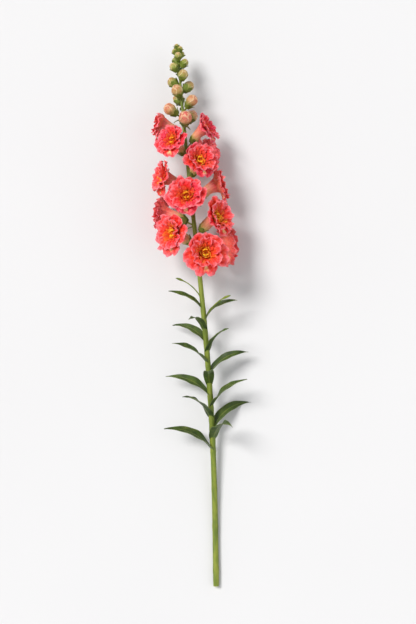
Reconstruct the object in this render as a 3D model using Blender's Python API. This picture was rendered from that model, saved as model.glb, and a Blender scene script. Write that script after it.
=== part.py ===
"""A cut snapdragon stem with double coral flowers, lying on its side.

The stem runs along +Y from its cut end to the tip of the flower spike, and +Z is up from the
surface that it lies on. Every flower is set out by one rule: its place along the stem, and its turn
round the stem by the golden angle. Petals, sepals, bracts and leaves are thin blades on a formula.
Units are metres, and angles are radians unless a name says otherwise.
"""

import math

import bpy
import numpy as np

MM = 0.001

# Stem. Places along it are measured from its own middle, which SHIFT_Y moves to the frame's origin.
SHIFT_X = -2.5 * MM
SHIFT_Y = 3.1 * MM
CUT_Y = -300 * MM
FLAT_END_Y = -262 * MM
RISEN_Y = 40 * MM
TIP_Y = 291 * MM
TIP_POINT = 3 * MM
FLOWER_HEIGHT = 33.5 * MM
SWAY = 6 * MM
SWAY_TURNS = 0.75
STEM_SIDES = 10
STEM_RINGS = 22
STEM_RADII = (
    (CUT_Y, 3.2 * MM),
    (FLAT_END_Y, 3.2 * MM),
    (-20 * MM, 2.8 * MM),
    (200 * MM, 1.8 * MM),
    (TIP_Y, 0.9 * MM),
)

# Places of the flowers and buds. Each pair is the value at the first one and at the last one.
GOLDEN_ANGLE = math.radians(137.508)
FIRST_TURN = math.radians(20)
LYING_SHARE = 0.72
BLOOMS = 13
FIRST_BLOOM_Y = 44 * MM
BLOOM_STEP = 12.0 * MM
BLOOM_SIZE = (1.06, 0.86)
BLOOM_LEAN_DEG = (34, 50)
FACE_LEAN_DEG = (8, 28)
BUDS = 5
BUD_START = 8 * MM
BUD_STEP = 7.0 * MM
BUD_LENGTH = (18.5 * MM, 15.0 * MM)
BUD_SIZE = (1.2, 1.03)
BUD_LEAN_DEG = (38, 48)
BUD_STALK = (8.5 * MM, 5.5 * MM)
GREEN_BUDS = 14
GREEN_STEP = (6.8 * MM, 2.0 * MM)
GREEN_LEAN_DEG = (48, 78)
GREEN_LENGTH = (14.5 * MM, 5.0 * MM)
GREEN_WIDTH = (12.2 * MM, 4.4 * MM)

# Double flower at full size, as (radius, height) from the foot of its tube
STALK = 8.5 * MM
TUBE = 23.5 * MM
TUBE_FOOT_RADIUS = 3.0 * MM
TUBE_PROFILE = ((5.5 * MM, 8.2 * MM), (6.05 * MM, 16.5 * MM), (8.2 * MM, 22.6 * MM))
CREASE = (8.1 * MM, 23.2 * MM)
THROAT_PROFILE = ((6.2 * MM, 22.5 * MM), (3.6 * MM, 13.0 * MM))
LIMB_COLUMNS = 20
PETALS = 5
PETAL_THICK = 0.7 * MM
CLEFT_REACH = 0.5
RUFFLE = 1.7 * MM
RUFFLES_PER_TURN = 10
OUTER_WHORL = {
    "lobe_deg": 54,
    "rows": (0.4, 0.74, 1.0),
    "length": 19 * MM,
    "root": (7.7 * MM, 22.3 * MM),
    "root_rise_deg": 60,
    "tip_rise_deg": -14,
    "lip_deg": 24,
    "ruffle": 1.0,
    "notch": 0.10,
}
INNER_WHORL = {
    "lobe_deg": 90,
    "rows": (0.52, 1.0),
    "length": 15 * MM,
    "root": (7.1 * MM, 22.9 * MM),
    "root_rise_deg": 84,
    "tip_rise_deg": 12,
    "lip_deg": 14,
    "ruffle": 0.8,
    "notch": 0.03,
}

# Crown of small petals in the throat: (radius, height from the tube's rim, pleat, wave) per ring
HEART_COLUMNS = 10
HEART_PROFILE = (
    (2.7 * MM, -10.2 * MM, 0.0, 0.0),
    (4.0 * MM, -5.0 * MM, 0.1, 0.0),
    (5.3 * MM, 2.6 * MM, 0.12, 0.9 * MM),
    (4.4 * MM, 2.9 * MM, 0.16, 0.9 * MM),
    (2.2 * MM, -3.4 * MM, 0.1, 0.0),
    (2.1 * MM, 1.4 * MM, 0.2, 0.5 * MM),
)

# Closed buds: (share of the length, radius) per ring. The green ones are shares of the width.
BUD_COLUMNS = 8
BUD_PROFILE = (
    (0.0, 2.4 * MM),
    (0.22, 4.3 * MM),
    (0.52, 5.9 * MM),
    (0.8, 4.9 * MM),
    (0.96, 2.4 * MM),
)
GREEN_COLUMNS = 6
GREEN_PROFILE = ((0.0, 0.26), (0.35, 0.5), (0.75, 0.36))

# Stalks and cups of sepals
STALK_RADIUS = 0.95 * MM
STALK_BEHIND = 2 * MM
SEPAL_THICK = 0.75 * MM
SEPAL_GAP = 0.36 * MM
SEPAL_CLEFT = 0.45
BLOOM_CUP = {"foot": TUBE_FOOT_RADIUS, "spread": 0.30, "height": 6.4 * MM}
BUD_CUP = {"foot": 2.4 * MM, "spread": 0.52, "height": 4.6 * MM}

# Clearances
SEAT_GAP = 0.3 * MM
CELL_GAP = 0.65 * MM
CELL_AHEAD = 15 * MM
CELL_FREE_SHARE = 0.55
CELL_REACH = 1.8
CELL_STEPS = 35
FLOOR_BAND = 2 * MM

# Leaves, bracts and side shoots. Each shoot is (place, turn, leans at foot and tip, length).
LEAVES = 14
FIRST_LEAF_Y = -154 * MM
LEAF_STEP = 11.8 * MM
LEAF_LENGTH = (66 * MM, 46 * MM)
LEAF_WIDTH = (14 * MM, 9.1 * MM)
LEAF_THICK = 0.7 * MM
LEAF_ROWS = 8
LEAF_LEAN_DEG = (60, -4)
LEAF_FOLD = 0.3
LEAF_TWIST = math.radians(70)
LEAF_FOOT_HALF_WIDTH = 0.9 * MM
LEAF_TIP_HALF_WIDTH = 0.5 * MM
BRACT_LENGTH = 10.5 * MM
BRACT_HALF_WIDTHS = (1.0 * MM, 1.5 * MM, 0.45 * MM)
BRACT_THICK = 0.65 * MM
BRACT_LEAN_DEG = (12, -38)
BRACT_BELOW = 1.6 * MM
SHOOT_RADIUS = 0.7 * MM
SHOOT_WIDTHS = (1.3, 1.0, 0.9, 0.8, 0.8, 2.0, 1.0)
SHOOTS = ((-14 * MM, 62, (66, 8), 46 * MM), (10 * MM, -70, (70, 16), 40 * MM))

SHARP_ANGLE = math.radians(50)

STEM_GREEN = (0.21, 0.36, 0.05)
CORAL = (0.85, 0.10, 0.12)
BUD_PEACH = (0.72, 0.27, 0.16)
HEART_ORANGE = (0.95, 0.42, 0.04)


def between(pair, share):
    """The value a share of the way from the first of a pair to the second."""
    return pair[0] + (pair[1] - pair[0]) * share


def smoothstep(value, low, high):
    """0 below low, 1 above high, and a smooth rise between."""
    t = np.clip((value - low) / (high - low), 0.0, 1.0)
    return t * t * (3 - 2 * t)


def unit(vector):
    return vector / np.linalg.norm(vector)


def stem_radius(y):
    return float(np.interp(y, [p[0] for p in STEM_RADII], [p[1] for p in STEM_RADII]))


def stem_centre(y):
    """The stem's own line: it lies flat at the cut end and rises to the height of the spike."""
    t = (y - CUT_Y) / (TIP_Y - CUT_Y)
    foot = STEM_RADII[0][1] * math.cos(math.pi / STEM_SIDES)
    rise = (FLOWER_HEIGHT - foot) * smoothstep(y, FLAT_END_Y, RISEN_Y)
    sway = SWAY * math.sin(2 * math.pi * SWAY_TURNS * t)
    return np.array([SHIFT_X + sway, SHIFT_Y + y, foot + rise])


def stem_axes(y):
    """(along, up, side): unit vectors of the stem at y."""
    step = 1 * MM
    along = unit(stem_centre(y + step) - stem_centre(y - step))
    side = unit(np.cross(along, (0, 0, 1)))
    return along, np.cross(side, along), side


def outward(y, turn):
    """Unit vector out of the stem at y, turned that far from up towards the side."""
    _, up, side = stem_axes(y)
    return math.cos(turn) * up + math.sin(turn) * side


def lying_turn(index):
    """Turn round the stem from straight up. The underside's share is pushed to both sides."""
    turn = (FIRST_TURN + index * GOLDEN_ANGLE + math.pi) % (2 * math.pi) - math.pi
    return turn * LYING_SHARE


def circle(sides, radius, height=0.0, turn=0.0):
    """Points of a ring about the third axis."""
    angles = turn + 2 * math.pi * np.arange(sides) / sides
    ring = [radius * np.cos(angles), radius * np.sin(angles), np.full(sides, height)]
    return np.stack(ring, axis=1)


class Flower:
    """One flower or bud: where it leaves the stem, which way it looks, and how large it is."""

    def __init__(self, y, turn, lean, face_lean, size, tube, stalk):
        along = stem_axes(y)[0]
        out = outward(y, turn)
        self.y = y
        self.turn = turn
        self.size = size
        self.tube = tube
        self.bend = lean - face_lean
        self.root = stem_centre(y)
        self.forward = math.cos(lean) * out + math.sin(lean) * along
        self.up = math.cos(lean) * along - math.sin(lean) * out
        self.side = np.cross(self.up, self.forward)
        self.neck = self.root + out * stem_radius(y) * 0.8 + self.forward * stalk

    def place(self, points):
        """Own points (side, up, forward from the neck) to the part's frame, along the bend."""
        points = np.asarray(points, float)
        inside = np.clip(points[..., 2], 0.0, self.tube)
        angle = (self.bend * inside / self.tube)[..., None]
        forward = np.cos(angle) * self.forward - np.sin(angle) * self.up
        up = np.cos(angle) * self.up + np.sin(angle) * self.forward
        bent = np.sin(angle) * self.forward - (1 - np.cos(angle)) * self.up
        centre = self.neck + self.tube / self.bend * bent
        beyond = (points[..., 2] - inside)[..., None] * forward
        return centre + beyond + points[..., 0:1] * self.side + points[..., 1:2] * up

    def axis(self):
        """The line that its cell is measured from: stem, neck, face, and a way in front."""
        heights = (0.0, self.tube / 2, self.tube, self.tube + CELL_AHEAD)
        return np.vstack([self.root, self.place([(0, 0, height) for height in heights])])


def bloom_flowers():
    """The open flowers, largest at the foot of the spike."""
    flowers = []
    for index in range(BLOOMS):
        share = index / (BLOOMS - 1)
        size = between(BLOOM_SIZE, share**1.6)
        lean = math.radians(between(BLOOM_LEAN_DEG, share))
        face_lean = math.radians(between(FACE_LEAN_DEG, share))
        y = FIRST_BLOOM_Y + BLOOM_STEP * index
        flowers.append(Flower(y, lying_turn(index), lean, face_lean, size, TUBE * size, STALK))
    return flowers


def bud_flowers():
    """The coloured buds above the open flowers."""
    first = FIRST_BLOOM_Y + BLOOM_STEP * (BLOOMS - 1) + BUD_START
    flowers = []
    for index in range(BUDS):
        share = index / (BUDS - 1)
        turn = FIRST_TURN + (BLOOMS + index) * GOLDEN_ANGLE
        lean = math.radians(between(BUD_LEAN_DEG, share))
        length = between(BUD_LENGTH, share)
        size = between(BUD_SIZE, share)
        stalk = between(BUD_STALK, share)
        y = first + BUD_STEP * index
        flowers.append(Flower(y, turn, lean, lean - 0.12, size, length, stalk))
    return flowers


def green_bud_flowers():
    """The green buds that close up to the tip of the spike, as (flower, width)."""
    y = FIRST_BLOOM_Y + BLOOM_STEP * (BLOOMS - 1) + BUD_START + BUD_STEP * (BUDS - 1)
    flowers = []
    for index in range(GREEN_BUDS):
        share = index / (GREEN_BUDS - 1)
        y += between(GREEN_STEP, share)
        turn = FIRST_TURN + (BLOOMS + BUDS + index) * GOLDEN_ANGLE
        lean = math.radians(between(GREEN_LEAN_DEG, share**1.5))
        length = between(GREEN_LENGTH, share)
        stalk = 1.2 * MM + 0.25 * length
        flower = Flower(y, turn, lean, lean - 0.15, 1.0, length, stalk)
        flowers.append((flower, between(GREEN_WIDTH, share)))
    return flowers


def distance_to_line(points, line):
    """Distance of each point to a line of joined segments, and the nearest point on it."""
    best = np.full(points.shape[0], np.inf)
    feet = np.zeros_like(points)
    for start, end in zip(line[:-1], line[1:]):
        run = end - start
        t = np.clip((points - start) @ run / (run @ run), 0.0, 1.0)
        foot = start + t[:, None] * run
        far = np.linalg.norm(points - foot, axis=1)
        nearer = far < best
        best = np.where(nearer, far, best)
        feet[nearer] = foot[nearer]
    return best, feet


def keep_in_cell(points, own_line, other_lines):
    """Presses points back where they pass halfway to a neighbour, as crowded petals do."""
    flat = points.reshape(-1, 3)
    reach, feet = distance_to_line(flat, own_line)
    ray = flat - feet
    steps = np.linspace(0.1, CELL_REACH, CELL_STEPS)
    limit = np.full(len(flat), CELL_REACH)
    open_yet = np.ones(len(flat), bool)
    spare_before = np.full(len(flat), 1.0)
    for before, share in zip(steps[:-1], steps[1:]):
        tried = feet + ray * share
        own, _ = distance_to_line(tried, own_line)
        spare = np.min([distance_to_line(tried, line)[0] for line in other_lines], axis=0)
        spare = spare - own - 2 * CELL_GAP
        met = open_yet & (spare < 0)
        part = np.clip(spare_before / np.maximum(spare_before - spare, 1e-9), 0, 1)
        limit[met] = (before + (share - before) * part)[met]
        open_yet &= ~met
        spare_before = np.maximum(spare, 0)
    furthest = reach * limit
    start = CELL_FREE_SHARE * furthest
    room = np.maximum(furthest - start, 1e-9)
    pressed = start + room * np.tanh((reach - start) / room)
    kept = np.where((reach > start) & (limit < CELL_REACH), pressed, reach)
    moved = feet + ray * (kept / np.maximum(reach, 1e-9))[:, None]
    return moved.reshape(points.shape)


def keep_off_floor(points, thickness):
    """Points near the surface flatten out on it, half a blade's thickness above."""
    lowest = thickness / 2
    above = points[..., 2] - lowest
    eased = np.clip(above + FLOOR_BAND, 0.0, 2 * FLOOR_BAND) ** 2 / (4 * FLOOR_BAND)
    points[..., 2] = lowest + np.where(above < FLOOR_BAND, eased, above)
    return points


def blade_mesh(middle, thickness):
    """(vertices, triangles) of a blade round a grid of points, split alike on both faces."""
    rows, columns = middle.shape[:2]
    normal = np.cross(np.gradient(middle, axis=1), np.gradient(middle, axis=0))
    normal /= np.linalg.norm(normal, axis=-1, keepdims=True)
    front = middle + normal * thickness / 2
    back = middle - normal * thickness / 2
    vertices = np.concatenate([front.reshape(-1, 3), back.reshape(-1, 3)])
    vertices[:, 2] = np.maximum(vertices[:, 2], 0.0)
    count = rows * columns
    faces = []
    for row in range(rows - 1):
        for column in range(columns - 1):
            a = row * columns + column
            b, c, d = a + 1, a + columns + 1, a + columns
            for corners in ((a, b, c), (a, c, d)):
                faces.append(corners)
                faces.append(tuple(count + corner for corner in reversed(corners)))
    edge = list(range(columns - 1))
    edge += [row * columns + columns - 1 for row in range(rows - 1)]
    edge += [count - 1 - column for column in range(columns - 1)]
    edge += [count - columns - row * columns for row in range(rows - 1)]
    for here, after in zip(edge, edge[1:] + edge[:1]):
        faces.append((here, count + here, count + after))
        faces.append((here, count + after, after))
    return vertices, faces


def loft_mesh(rings, tip=None):
    """(vertices, triangles) of a closed skin over rings of equally many points.

    The first ring is capped flat. The last one is too, or it ends in the point tip.
    """
    sides = len(rings[0])
    end = np.mean(rings[-1], axis=0) if tip is None else tip
    vertices = np.concatenate(rings + [[np.mean(rings[0], axis=0)], [end]])
    faces = []
    for ring in range(len(rings) - 1):
        for side in range(sides):
            a = ring * sides + side
            b = ring * sides + (side + 1) % sides
            faces.append((a, b, b + sides))
            faces.append((a, b + sides, a + sides))
    last = (len(rings) - 1) * sides
    first_middle, last_middle = len(rings) * sides, len(rings) * sides + 1
    for side in range(sides):
        after = (side + 1) % sides
        faces.append((after, side, first_middle))
        faces.append((last + side, last + after, last_middle))
    return vertices, faces


def make_material(name, colour, roughness):
    material = bpy.data.materials.new(name)
    material.use_nodes = True
    shader = material.node_tree.nodes["Principled BSDF"]
    shader.inputs["Base Color"].default_value = (*colour, 1)
    shader.inputs["Roughness"].default_value = roughness
    shader.inputs["Metallic"].default_value = 0
    return material


def make_object(name, shape, material):
    """An object from (vertices, triangles), shaded smooth except at sharp edges."""
    vertices, faces = shape
    mesh = bpy.data.meshes.new(name)
    mesh.from_pydata([tuple(v) for v in vertices], [], faces)
    mesh.materials.append(material)
    mesh.shade_smooth()
    mesh.set_sharp_from_angle(angle=SHARP_ANGLE)
    made = bpy.data.objects.new(name, mesh)
    bpy.context.scene.collection.objects.link(made)
    return made


def fuse(name, base, shapes, material):
    """One closed body from the base shape and everything that grows from it."""
    body = make_object(name, base, material)
    grown = bpy.data.collections.new(name + "_pieces")
    bpy.context.scene.collection.children.link(grown)
    for shape in shapes:
        piece = make_object(name + "_piece", shape, material)
        bpy.context.scene.collection.objects.unlink(piece)
        grown.objects.link(piece)
    union = body.modifiers.new("fuse", "BOOLEAN")
    union.operation = "UNION"
    union.operand_type = "COLLECTION"
    union.collection = grown
    union.solver = "EXACT"
    bpy.context.view_layer.update()
    evaluated = body.evaluated_get(bpy.context.evaluated_depsgraph_get())
    joined = bpy.data.meshes.new_from_object(evaluated)
    body.modifiers.clear()
    body.data = joined
    for piece in list(grown.objects):
        bpy.data.objects.remove(piece)
    bpy.data.collections.remove(grown)
    return body


def limb_middle(flower, whorl):
    """Middle points of a ring of five joined lobes, in the flower's own frame, row by row."""
    angle = 2 * math.pi * np.arange(LIMB_COLUMNS)[None, :] / LIMB_COLUMNS
    lobe = 2 * math.pi / PETALS
    past_lobe = (angle - math.radians(whorl["lobe_deg"]) + lobe / 2) % lobe - lobe / 2
    across = past_lobe / (lobe / 2)
    notch = whorl["notch"] * np.exp(-((across / 0.3) ** 2))
    outline = 1 - (1 - CLEFT_REACH) * across**4 - notch
    along = np.array(whorl["rows"])[:, None] * outline
    root_rise = math.radians(whorl["root_rise_deg"])
    tip_rise = np.radians(whorl["tip_rise_deg"] + whorl["lip_deg"] * np.sin(angle))
    steps = 24
    radius = np.full(along.shape, whorl["root"][0])
    height = np.full(along.shape, whorl["root"][1])
    for step in range(steps):
        rise = between((root_rise, tip_rise), (along * (step + 0.5) / steps) ** 0.7)
        radius = radius + whorl["length"] * along / steps * np.cos(rise)
        height = height + whorl["length"] * along / steps * np.sin(rise)
    rise = between((root_rise, tip_rise), along**0.7)
    wave = RUFFLE * whorl["ruffle"] * along**2 * np.cos(RUFFLES_PER_TURN * angle)
    radius = (radius - wave * np.sin(rise)) * flower.size
    height = flower.tube + (height + wave * np.cos(rise) - TUBE) * flower.size
    return np.stack([radius * np.cos(angle), radius * np.sin(angle), height], axis=-1)


def limb_faces(flower, whorl, own_line, lines):
    """Front and back rings of a whorl, pressed into its cell and thickened."""
    middle = flower.place(limb_middle(flower, whorl))
    middle = keep_off_floor(keep_in_cell(middle, own_line, lines), PETAL_THICK)
    across = np.roll(middle, -1, axis=1) - np.roll(middle, 1, axis=1)
    normal = np.cross(np.gradient(middle, axis=0), across)
    normal /= np.linalg.norm(normal, axis=-1, keepdims=True)
    front = middle + normal * PETAL_THICK / 2
    back = middle - normal * PETAL_THICK / 2
    for face in (front, back):
        face[..., 2] = np.maximum(face[..., 2], 0.0)
    return list(front), list(back)


def make_bloom(name, flower, others, material):
    """The coral corolla in one skin: tube, five spreading lobes, five cupped ones, throat."""
    own_line = flower.axis()
    lines = [other.axis() for other in others if other is not flower]
    outer_front, outer_back = limb_faces(flower, OUTER_WHORL, own_line, lines)
    inner_front, inner_back = limb_faces(flower, INNER_WHORL, own_line, lines)

    def ring(radius, height):
        return flower.place(circle(LIMB_COLUMNS, radius * flower.size, height))

    rings = [ring(TUBE_FOOT_RADIUS, SEAT_GAP)]
    rings += [ring(radius, height * flower.size) for radius, height in TUBE_PROFILE]
    rings += outer_back + outer_front[::-1]
    rings += [ring(CREASE[0], CREASE[1] * flower.size)]
    rings += inner_back + inner_front[::-1]
    rings += [ring(radius, height * flower.size) for radius, height in THROAT_PROFILE]
    return make_object(name, loft_mesh(rings), material)


def make_heart(name, flower, material):
    """The crown of small folded petals in the throat, and the knot of stamens inside it."""
    fold = np.where(np.arange(HEART_COLUMNS) % 2 == 0, 1.0, -1.0)
    rings = []
    for radius, height, pleat, wave in HEART_PROFILE:
        ring = circle(HEART_COLUMNS, radius * flower.size)
        ring[:, :2] *= (1 + pleat * fold)[:, None]
        ring[:, 2] = flower.tube + (height + wave * fold) * flower.size
        rings.append(flower.place(ring))
    return make_object(name, loft_mesh(rings), material)


def make_bud(name, flower, material):
    """A closed coloured bud: a plump egg, a little flatter from above."""
    rings = []
    for share, radius in BUD_PROFILE:
        ring = circle(BUD_COLUMNS, radius * flower.size, between((SEAT_GAP, flower.tube), share))
        ring[:, 1] = ring[:, 1] * 0.9 + 0.5 * MM * share
        rings.append(flower.place(ring))
    return make_object(name, loft_mesh(rings), material)


def place_behind(flower, ring):
    """Own points behind the neck to the part's frame: no bend there."""
    shift = ring[..., 0:1] * flower.side + ring[..., 1:2] * flower.up
    return flower.neck + shift + ring[..., 2:3] * flower.forward


def stalk_foot(flower, sides, radius):
    """The first ring of a stalk, inside the stem."""
    own_root = flower.root - flower.neck
    foot = circle(sides, radius * 1.3, float(own_root @ flower.forward) + radius)
    foot[:, 1] += float(own_root @ flower.up)
    return place_behind(flower, foot)


def calyx_on_stalk(flower, cup):
    """The stalk and the cup of five pointed sepals round a flower's foot, in one skin."""
    sides = 2 * PETALS
    size = flower.size
    widen = 1 / math.cos(math.pi / sides)
    is_tip = np.arange(sides) % 2 == 0
    tooth = np.where(is_tip, 1.0, SEPAL_CLEFT) * cup["height"] * size
    seat = (cup["foot"] * size + SEPAL_GAP) * widen
    inner = seat + cup["spread"] * tooth * widen
    outer = inner + SEPAL_THICK * np.where(is_tip, 0.9, 1.25)
    rim_out, rim_in = circle(sides, 1.0), circle(sides, 1.0)
    rim_out[:, :2] *= outer[:, None]
    rim_in[:, :2] *= inner[:, None]
    rim_out[:, 2] = tooth
    rim_in[:, 2] = tooth - 0.1 * MM
    stalk = STALK_RADIUS * (0.5 + 0.5 * size)
    rings = [
        stalk_foot(flower, sides, stalk),
        place_behind(flower, circle(sides, stalk, -STALK_BEHIND)),
        place_behind(flower, circle(sides, (seat + SEPAL_THICK) * 0.86, -SEPAL_THICK)),
        flower.place(rim_out),
        flower.place(rim_in),
        flower.place(circle(sides, seat)),
    ]
    return loft_mesh(rings)


def green_bud(flower, width):
    """A closed green bud on a short stalk."""
    rings = [stalk_foot(flower, GREEN_COLUMNS, max(0.17 * width, 0.55 * MM))]
    for share, radius in GREEN_PROFILE:
        ring = circle(GREEN_COLUMNS, radius * width, share * flower.tube)
        rings.append(flower.place(ring))
    return loft_mesh(rings, flower.place([[0, 0, flower.tube]])[0])


def curved_blade(y, turn, leans_deg, length, half_widths, thickness, fold=0.0, twist=0.0):
    """A blade that leaves the stem at y and bends in the plane of the stem and its turn.

    Args:
        y: its place along the stem.
        turn: which way round the stem it grows, from up.
        leans_deg: its lean towards the stem's tip, at its root and at its own tip.
        length: from the root to the tip.
        half_widths: at evenly spaced rows from the root to the tip.
        thickness: of the blade.
        fold: how far the edges stand above the middle, as a share of the half width.
        twist: turn of the tip round the blade's own length.
    """
    along = stem_axes(y)[0]
    out = outward(y, turn)
    columns = (-1, 0, 1) if fold else (-1, 1)
    rows = len(half_widths)
    middle = np.zeros((rows, len(columns), 3))
    point = stem_centre(y)
    for row, half_width in enumerate(half_widths):
        share = row / (rows - 1)
        lean = math.radians(between(leans_deg, share))
        forward = math.cos(lean) * out + math.sin(lean) * along
        untwisted = math.cos(lean) * along - math.sin(lean) * out
        over = math.cos(twist * share) * untwisted
        over = over + math.sin(twist * share) * np.cross(forward, untwisted)
        wide = np.cross(forward, over)
        for column, place in enumerate(columns):
            lift = fold * half_width * abs(place)
            middle[row, column] = point + wide * half_width * place + over * lift
        point = point + forward * length / (rows - 1)
    return blade_mesh(keep_off_floor(middle, thickness), thickness)


def leaves():
    """Lance-shaped leaves up the stem, long at the foot and shorter near the flowers."""
    rows = np.linspace(0.07, 1, LEAF_ROWS)
    outline = np.sin(math.pi * rows**0.72) ** 1.15
    shapes = []
    for index in range(LEAVES):
        share = index / (LEAVES - 1)
        turn = lying_turn(index - LEAVES)
        half = np.maximum(outline * between(LEAF_WIDTH, share) / 2, LEAF_FOOT_HALF_WIDTH)
        half[-1] = LEAF_TIP_HALF_WIDTH
        droop = 14 * math.sin(5.0 * index)
        shapes.append(
            curved_blade(
                FIRST_LEAF_Y + LEAF_STEP * index,
                turn,
                (LEAF_LEAN_DEG[0], LEAF_LEAN_DEG[1] + droop),
                between(LEAF_LENGTH, share),
                half,
                LEAF_THICK,
                fold=LEAF_FOLD,
                twist=LEAF_TWIST * math.sin(turn),
            )
        )
    return shapes


def bract(flower):
    """The small pointed blade under a stalk, bent back."""
    return curved_blade(
        flower.y - BRACT_BELOW,
        flower.turn,
        BRACT_LEAN_DEG,
        BRACT_LENGTH * flower.size,
        BRACT_HALF_WIDTHS,
        BRACT_THICK,
    )


def side_shoot(y, turn, leans_deg, length):
    """A thin bare shoot from a leaf's foot, ending in a small closed bud."""
    sides = 5
    along = stem_axes(y)[0]
    out = outward(y, turn)
    across = np.cross(along, out)
    point = stem_centre(y)
    steps = len(SHOOT_WIDTHS) - 1
    rings = []
    for index, width in enumerate(SHOOT_WIDTHS):
        lean = math.radians(between(leans_deg, index / steps))
        forward = math.cos(lean) * out + math.sin(lean) * along
        over = np.cross(forward, across)
        flat = circle(sides, SHOOT_RADIUS * width)
        rings.append(point + flat[:, 0:1] * across + flat[:, 1:2] * over)
        point = point + forward * length / steps
    return loft_mesh([keep_off_floor(ring, 2 * SHOOT_RADIUS) for ring in rings])


def stem_tube():
    """The round stem. One of its facets is down, so its first length lies flat."""
    rings = []
    for y in np.linspace(CUT_Y, TIP_Y, STEM_RINGS):
        _, up, side = stem_axes(y)
        flat = circle(STEM_SIDES, stem_radius(y), turn=math.pi / STEM_SIDES)
        rings.append(stem_centre(y) + flat[:, 0:1] * up + flat[:, 1:2] * side)
    return loft_mesh(rings, stem_centre(TIP_Y) + np.array([0, TIP_POINT, 0]))


def make_leafy_stem(material, blooms, buds):
    """Everything green as one grown-together body."""
    shapes = [green_bud(flower, width) for flower, width in green_bud_flowers()]
    shapes += leaves()
    shapes += [bract(flower) for flower in blooms + buds]
    shapes += [calyx_on_stalk(flower, BLOOM_CUP) for flower in blooms]
    shapes += [calyx_on_stalk(flower, BUD_CUP) for flower in buds]
    shapes += [side_shoot(y, math.radians(deg), leans, length) for y, deg, leans, length in SHOOTS]
    return fuse("leafy_stem", stem_tube(), shapes, material)


def main():
    for old in list(bpy.data.objects):
        bpy.data.objects.remove(old)
    green = make_material("stem_green", STEM_GREEN, 0.6)
    coral = make_material("coral_petal", CORAL, 0.55)
    orange = make_material("heart_orange", HEART_ORANGE, 0.5)
    peach = make_material("bud_peach", BUD_PEACH, 0.55)
    blooms = bloom_flowers()
    buds = bud_flowers()
    make_leafy_stem(green, blooms, buds)
    for number, flower in enumerate(blooms, start=1):
        make_bloom(f"bloom_{number:02d}", flower, blooms + buds, coral)
        make_heart(f"heart_{number:02d}", flower, orange)
    for number, flower in enumerate(buds, start=1):
        make_bud(f"bud_{number:02d}", flower, peach)


main()
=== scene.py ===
"""Looks of a cut double snapdragon stem that lies on a pale surface, seen from above.

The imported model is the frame: the stem's line, the places of the flowers and their crowding are the
same rules and sizes as in the construction. Each petal, sepal, leaf and bud is a plain blank from
one of Blender's primitives, copied and bent to its place. Units are metres, and angles are radians
unless a name says degrees.
"""

import logging
import math
from dataclasses import dataclass, field
from enum import Enum

import bpy
import numpy as np
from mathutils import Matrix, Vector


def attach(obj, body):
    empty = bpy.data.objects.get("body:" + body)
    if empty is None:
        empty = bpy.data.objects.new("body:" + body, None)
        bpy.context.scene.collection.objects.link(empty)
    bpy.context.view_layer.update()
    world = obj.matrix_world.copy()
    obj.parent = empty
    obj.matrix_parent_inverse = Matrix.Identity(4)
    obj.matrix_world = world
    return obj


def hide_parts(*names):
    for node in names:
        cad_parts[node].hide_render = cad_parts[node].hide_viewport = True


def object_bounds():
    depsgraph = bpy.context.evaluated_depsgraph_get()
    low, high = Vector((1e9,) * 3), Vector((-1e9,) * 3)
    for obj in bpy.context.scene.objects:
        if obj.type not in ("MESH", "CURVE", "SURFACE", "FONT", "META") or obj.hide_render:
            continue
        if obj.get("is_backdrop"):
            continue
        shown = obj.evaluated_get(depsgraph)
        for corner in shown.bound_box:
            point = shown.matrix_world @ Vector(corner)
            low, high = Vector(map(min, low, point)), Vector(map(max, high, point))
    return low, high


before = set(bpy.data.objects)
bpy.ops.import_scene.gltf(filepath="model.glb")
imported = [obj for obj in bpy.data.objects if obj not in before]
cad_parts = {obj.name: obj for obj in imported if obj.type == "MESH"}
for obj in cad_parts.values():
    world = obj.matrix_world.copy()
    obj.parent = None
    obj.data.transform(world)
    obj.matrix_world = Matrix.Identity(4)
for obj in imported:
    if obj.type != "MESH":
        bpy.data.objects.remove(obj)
cad_low, cad_high = (np.array(corner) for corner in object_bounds())

log = logging.getLogger("snapdragon")

MM = 0.001
GOLDEN_ANGLE = math.radians(137.508)
Array = np.ndarray
Numbers = tuple[float, ...]
Pair = tuple[float, float]
Triple = tuple[float, float, float]
Pairs = tuple[Pair, ...]
Stops = tuple[tuple[float, str], ...]


def between(pair: Pair, share: Array | float) -> Array | float:
    """The value a share of the way from the first of a pair to the second."""
    return pair[0] + (pair[1] - pair[0]) * share


def smooth(value: Array | float, low: float = 0.0, high: float = 1.0) -> Array:
    """0 below low, 1 above high, and a smooth rise between."""
    t = np.clip((np.asarray(value) - low) / (high - low), 0.0, 1.0)
    return t * t * (3 - 2 * t)


def unit(vector: Array) -> Array:
    """The vector at length 1."""
    return vector / np.linalg.norm(vector)


def linear(hex_colour: str) -> Triple:
    """A colour as the eye reads it, such as f0606a, in the linear values that shaders take."""
    values = [int(hex_colour[i : i + 2], 16) / 255 for i in (0, 2, 4)]
    return tuple(v / 12.92 if v < 0.04045 else ((v + 0.055) / 1.055) ** 2.4 for v in values)


def curve_through(points: Pairs, shares: Array) -> Array:
    """Points of a smooth curve through a few, at shares 0 to 1 of the way along them.

    Args:
        points: two or more (radius, height) pairs.
        shares: where to read the curve, evenly spread over the pairs.

    Returns:
        One (radius, height) row for each share.
    """
    knots = np.array(points, float)
    padded = np.vstack([2 * knots[0] - knots[1], knots, 2 * knots[-1] - knots[-2]])
    at = np.clip(np.asarray(shares), 0, 1) * (len(knots) - 1)
    first = np.minimum(at.astype(int), len(knots) - 2)
    t = (at - first)[:, None]
    a, b, c, d = (padded[first + k] for k in range(4))
    return 0.5 * (2 * b + (c - a) * t + (2 * a - 5 * b + 4 * c - d) * t**2
                  + (3 * b - a - 3 * c + d) * t**3)


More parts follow.
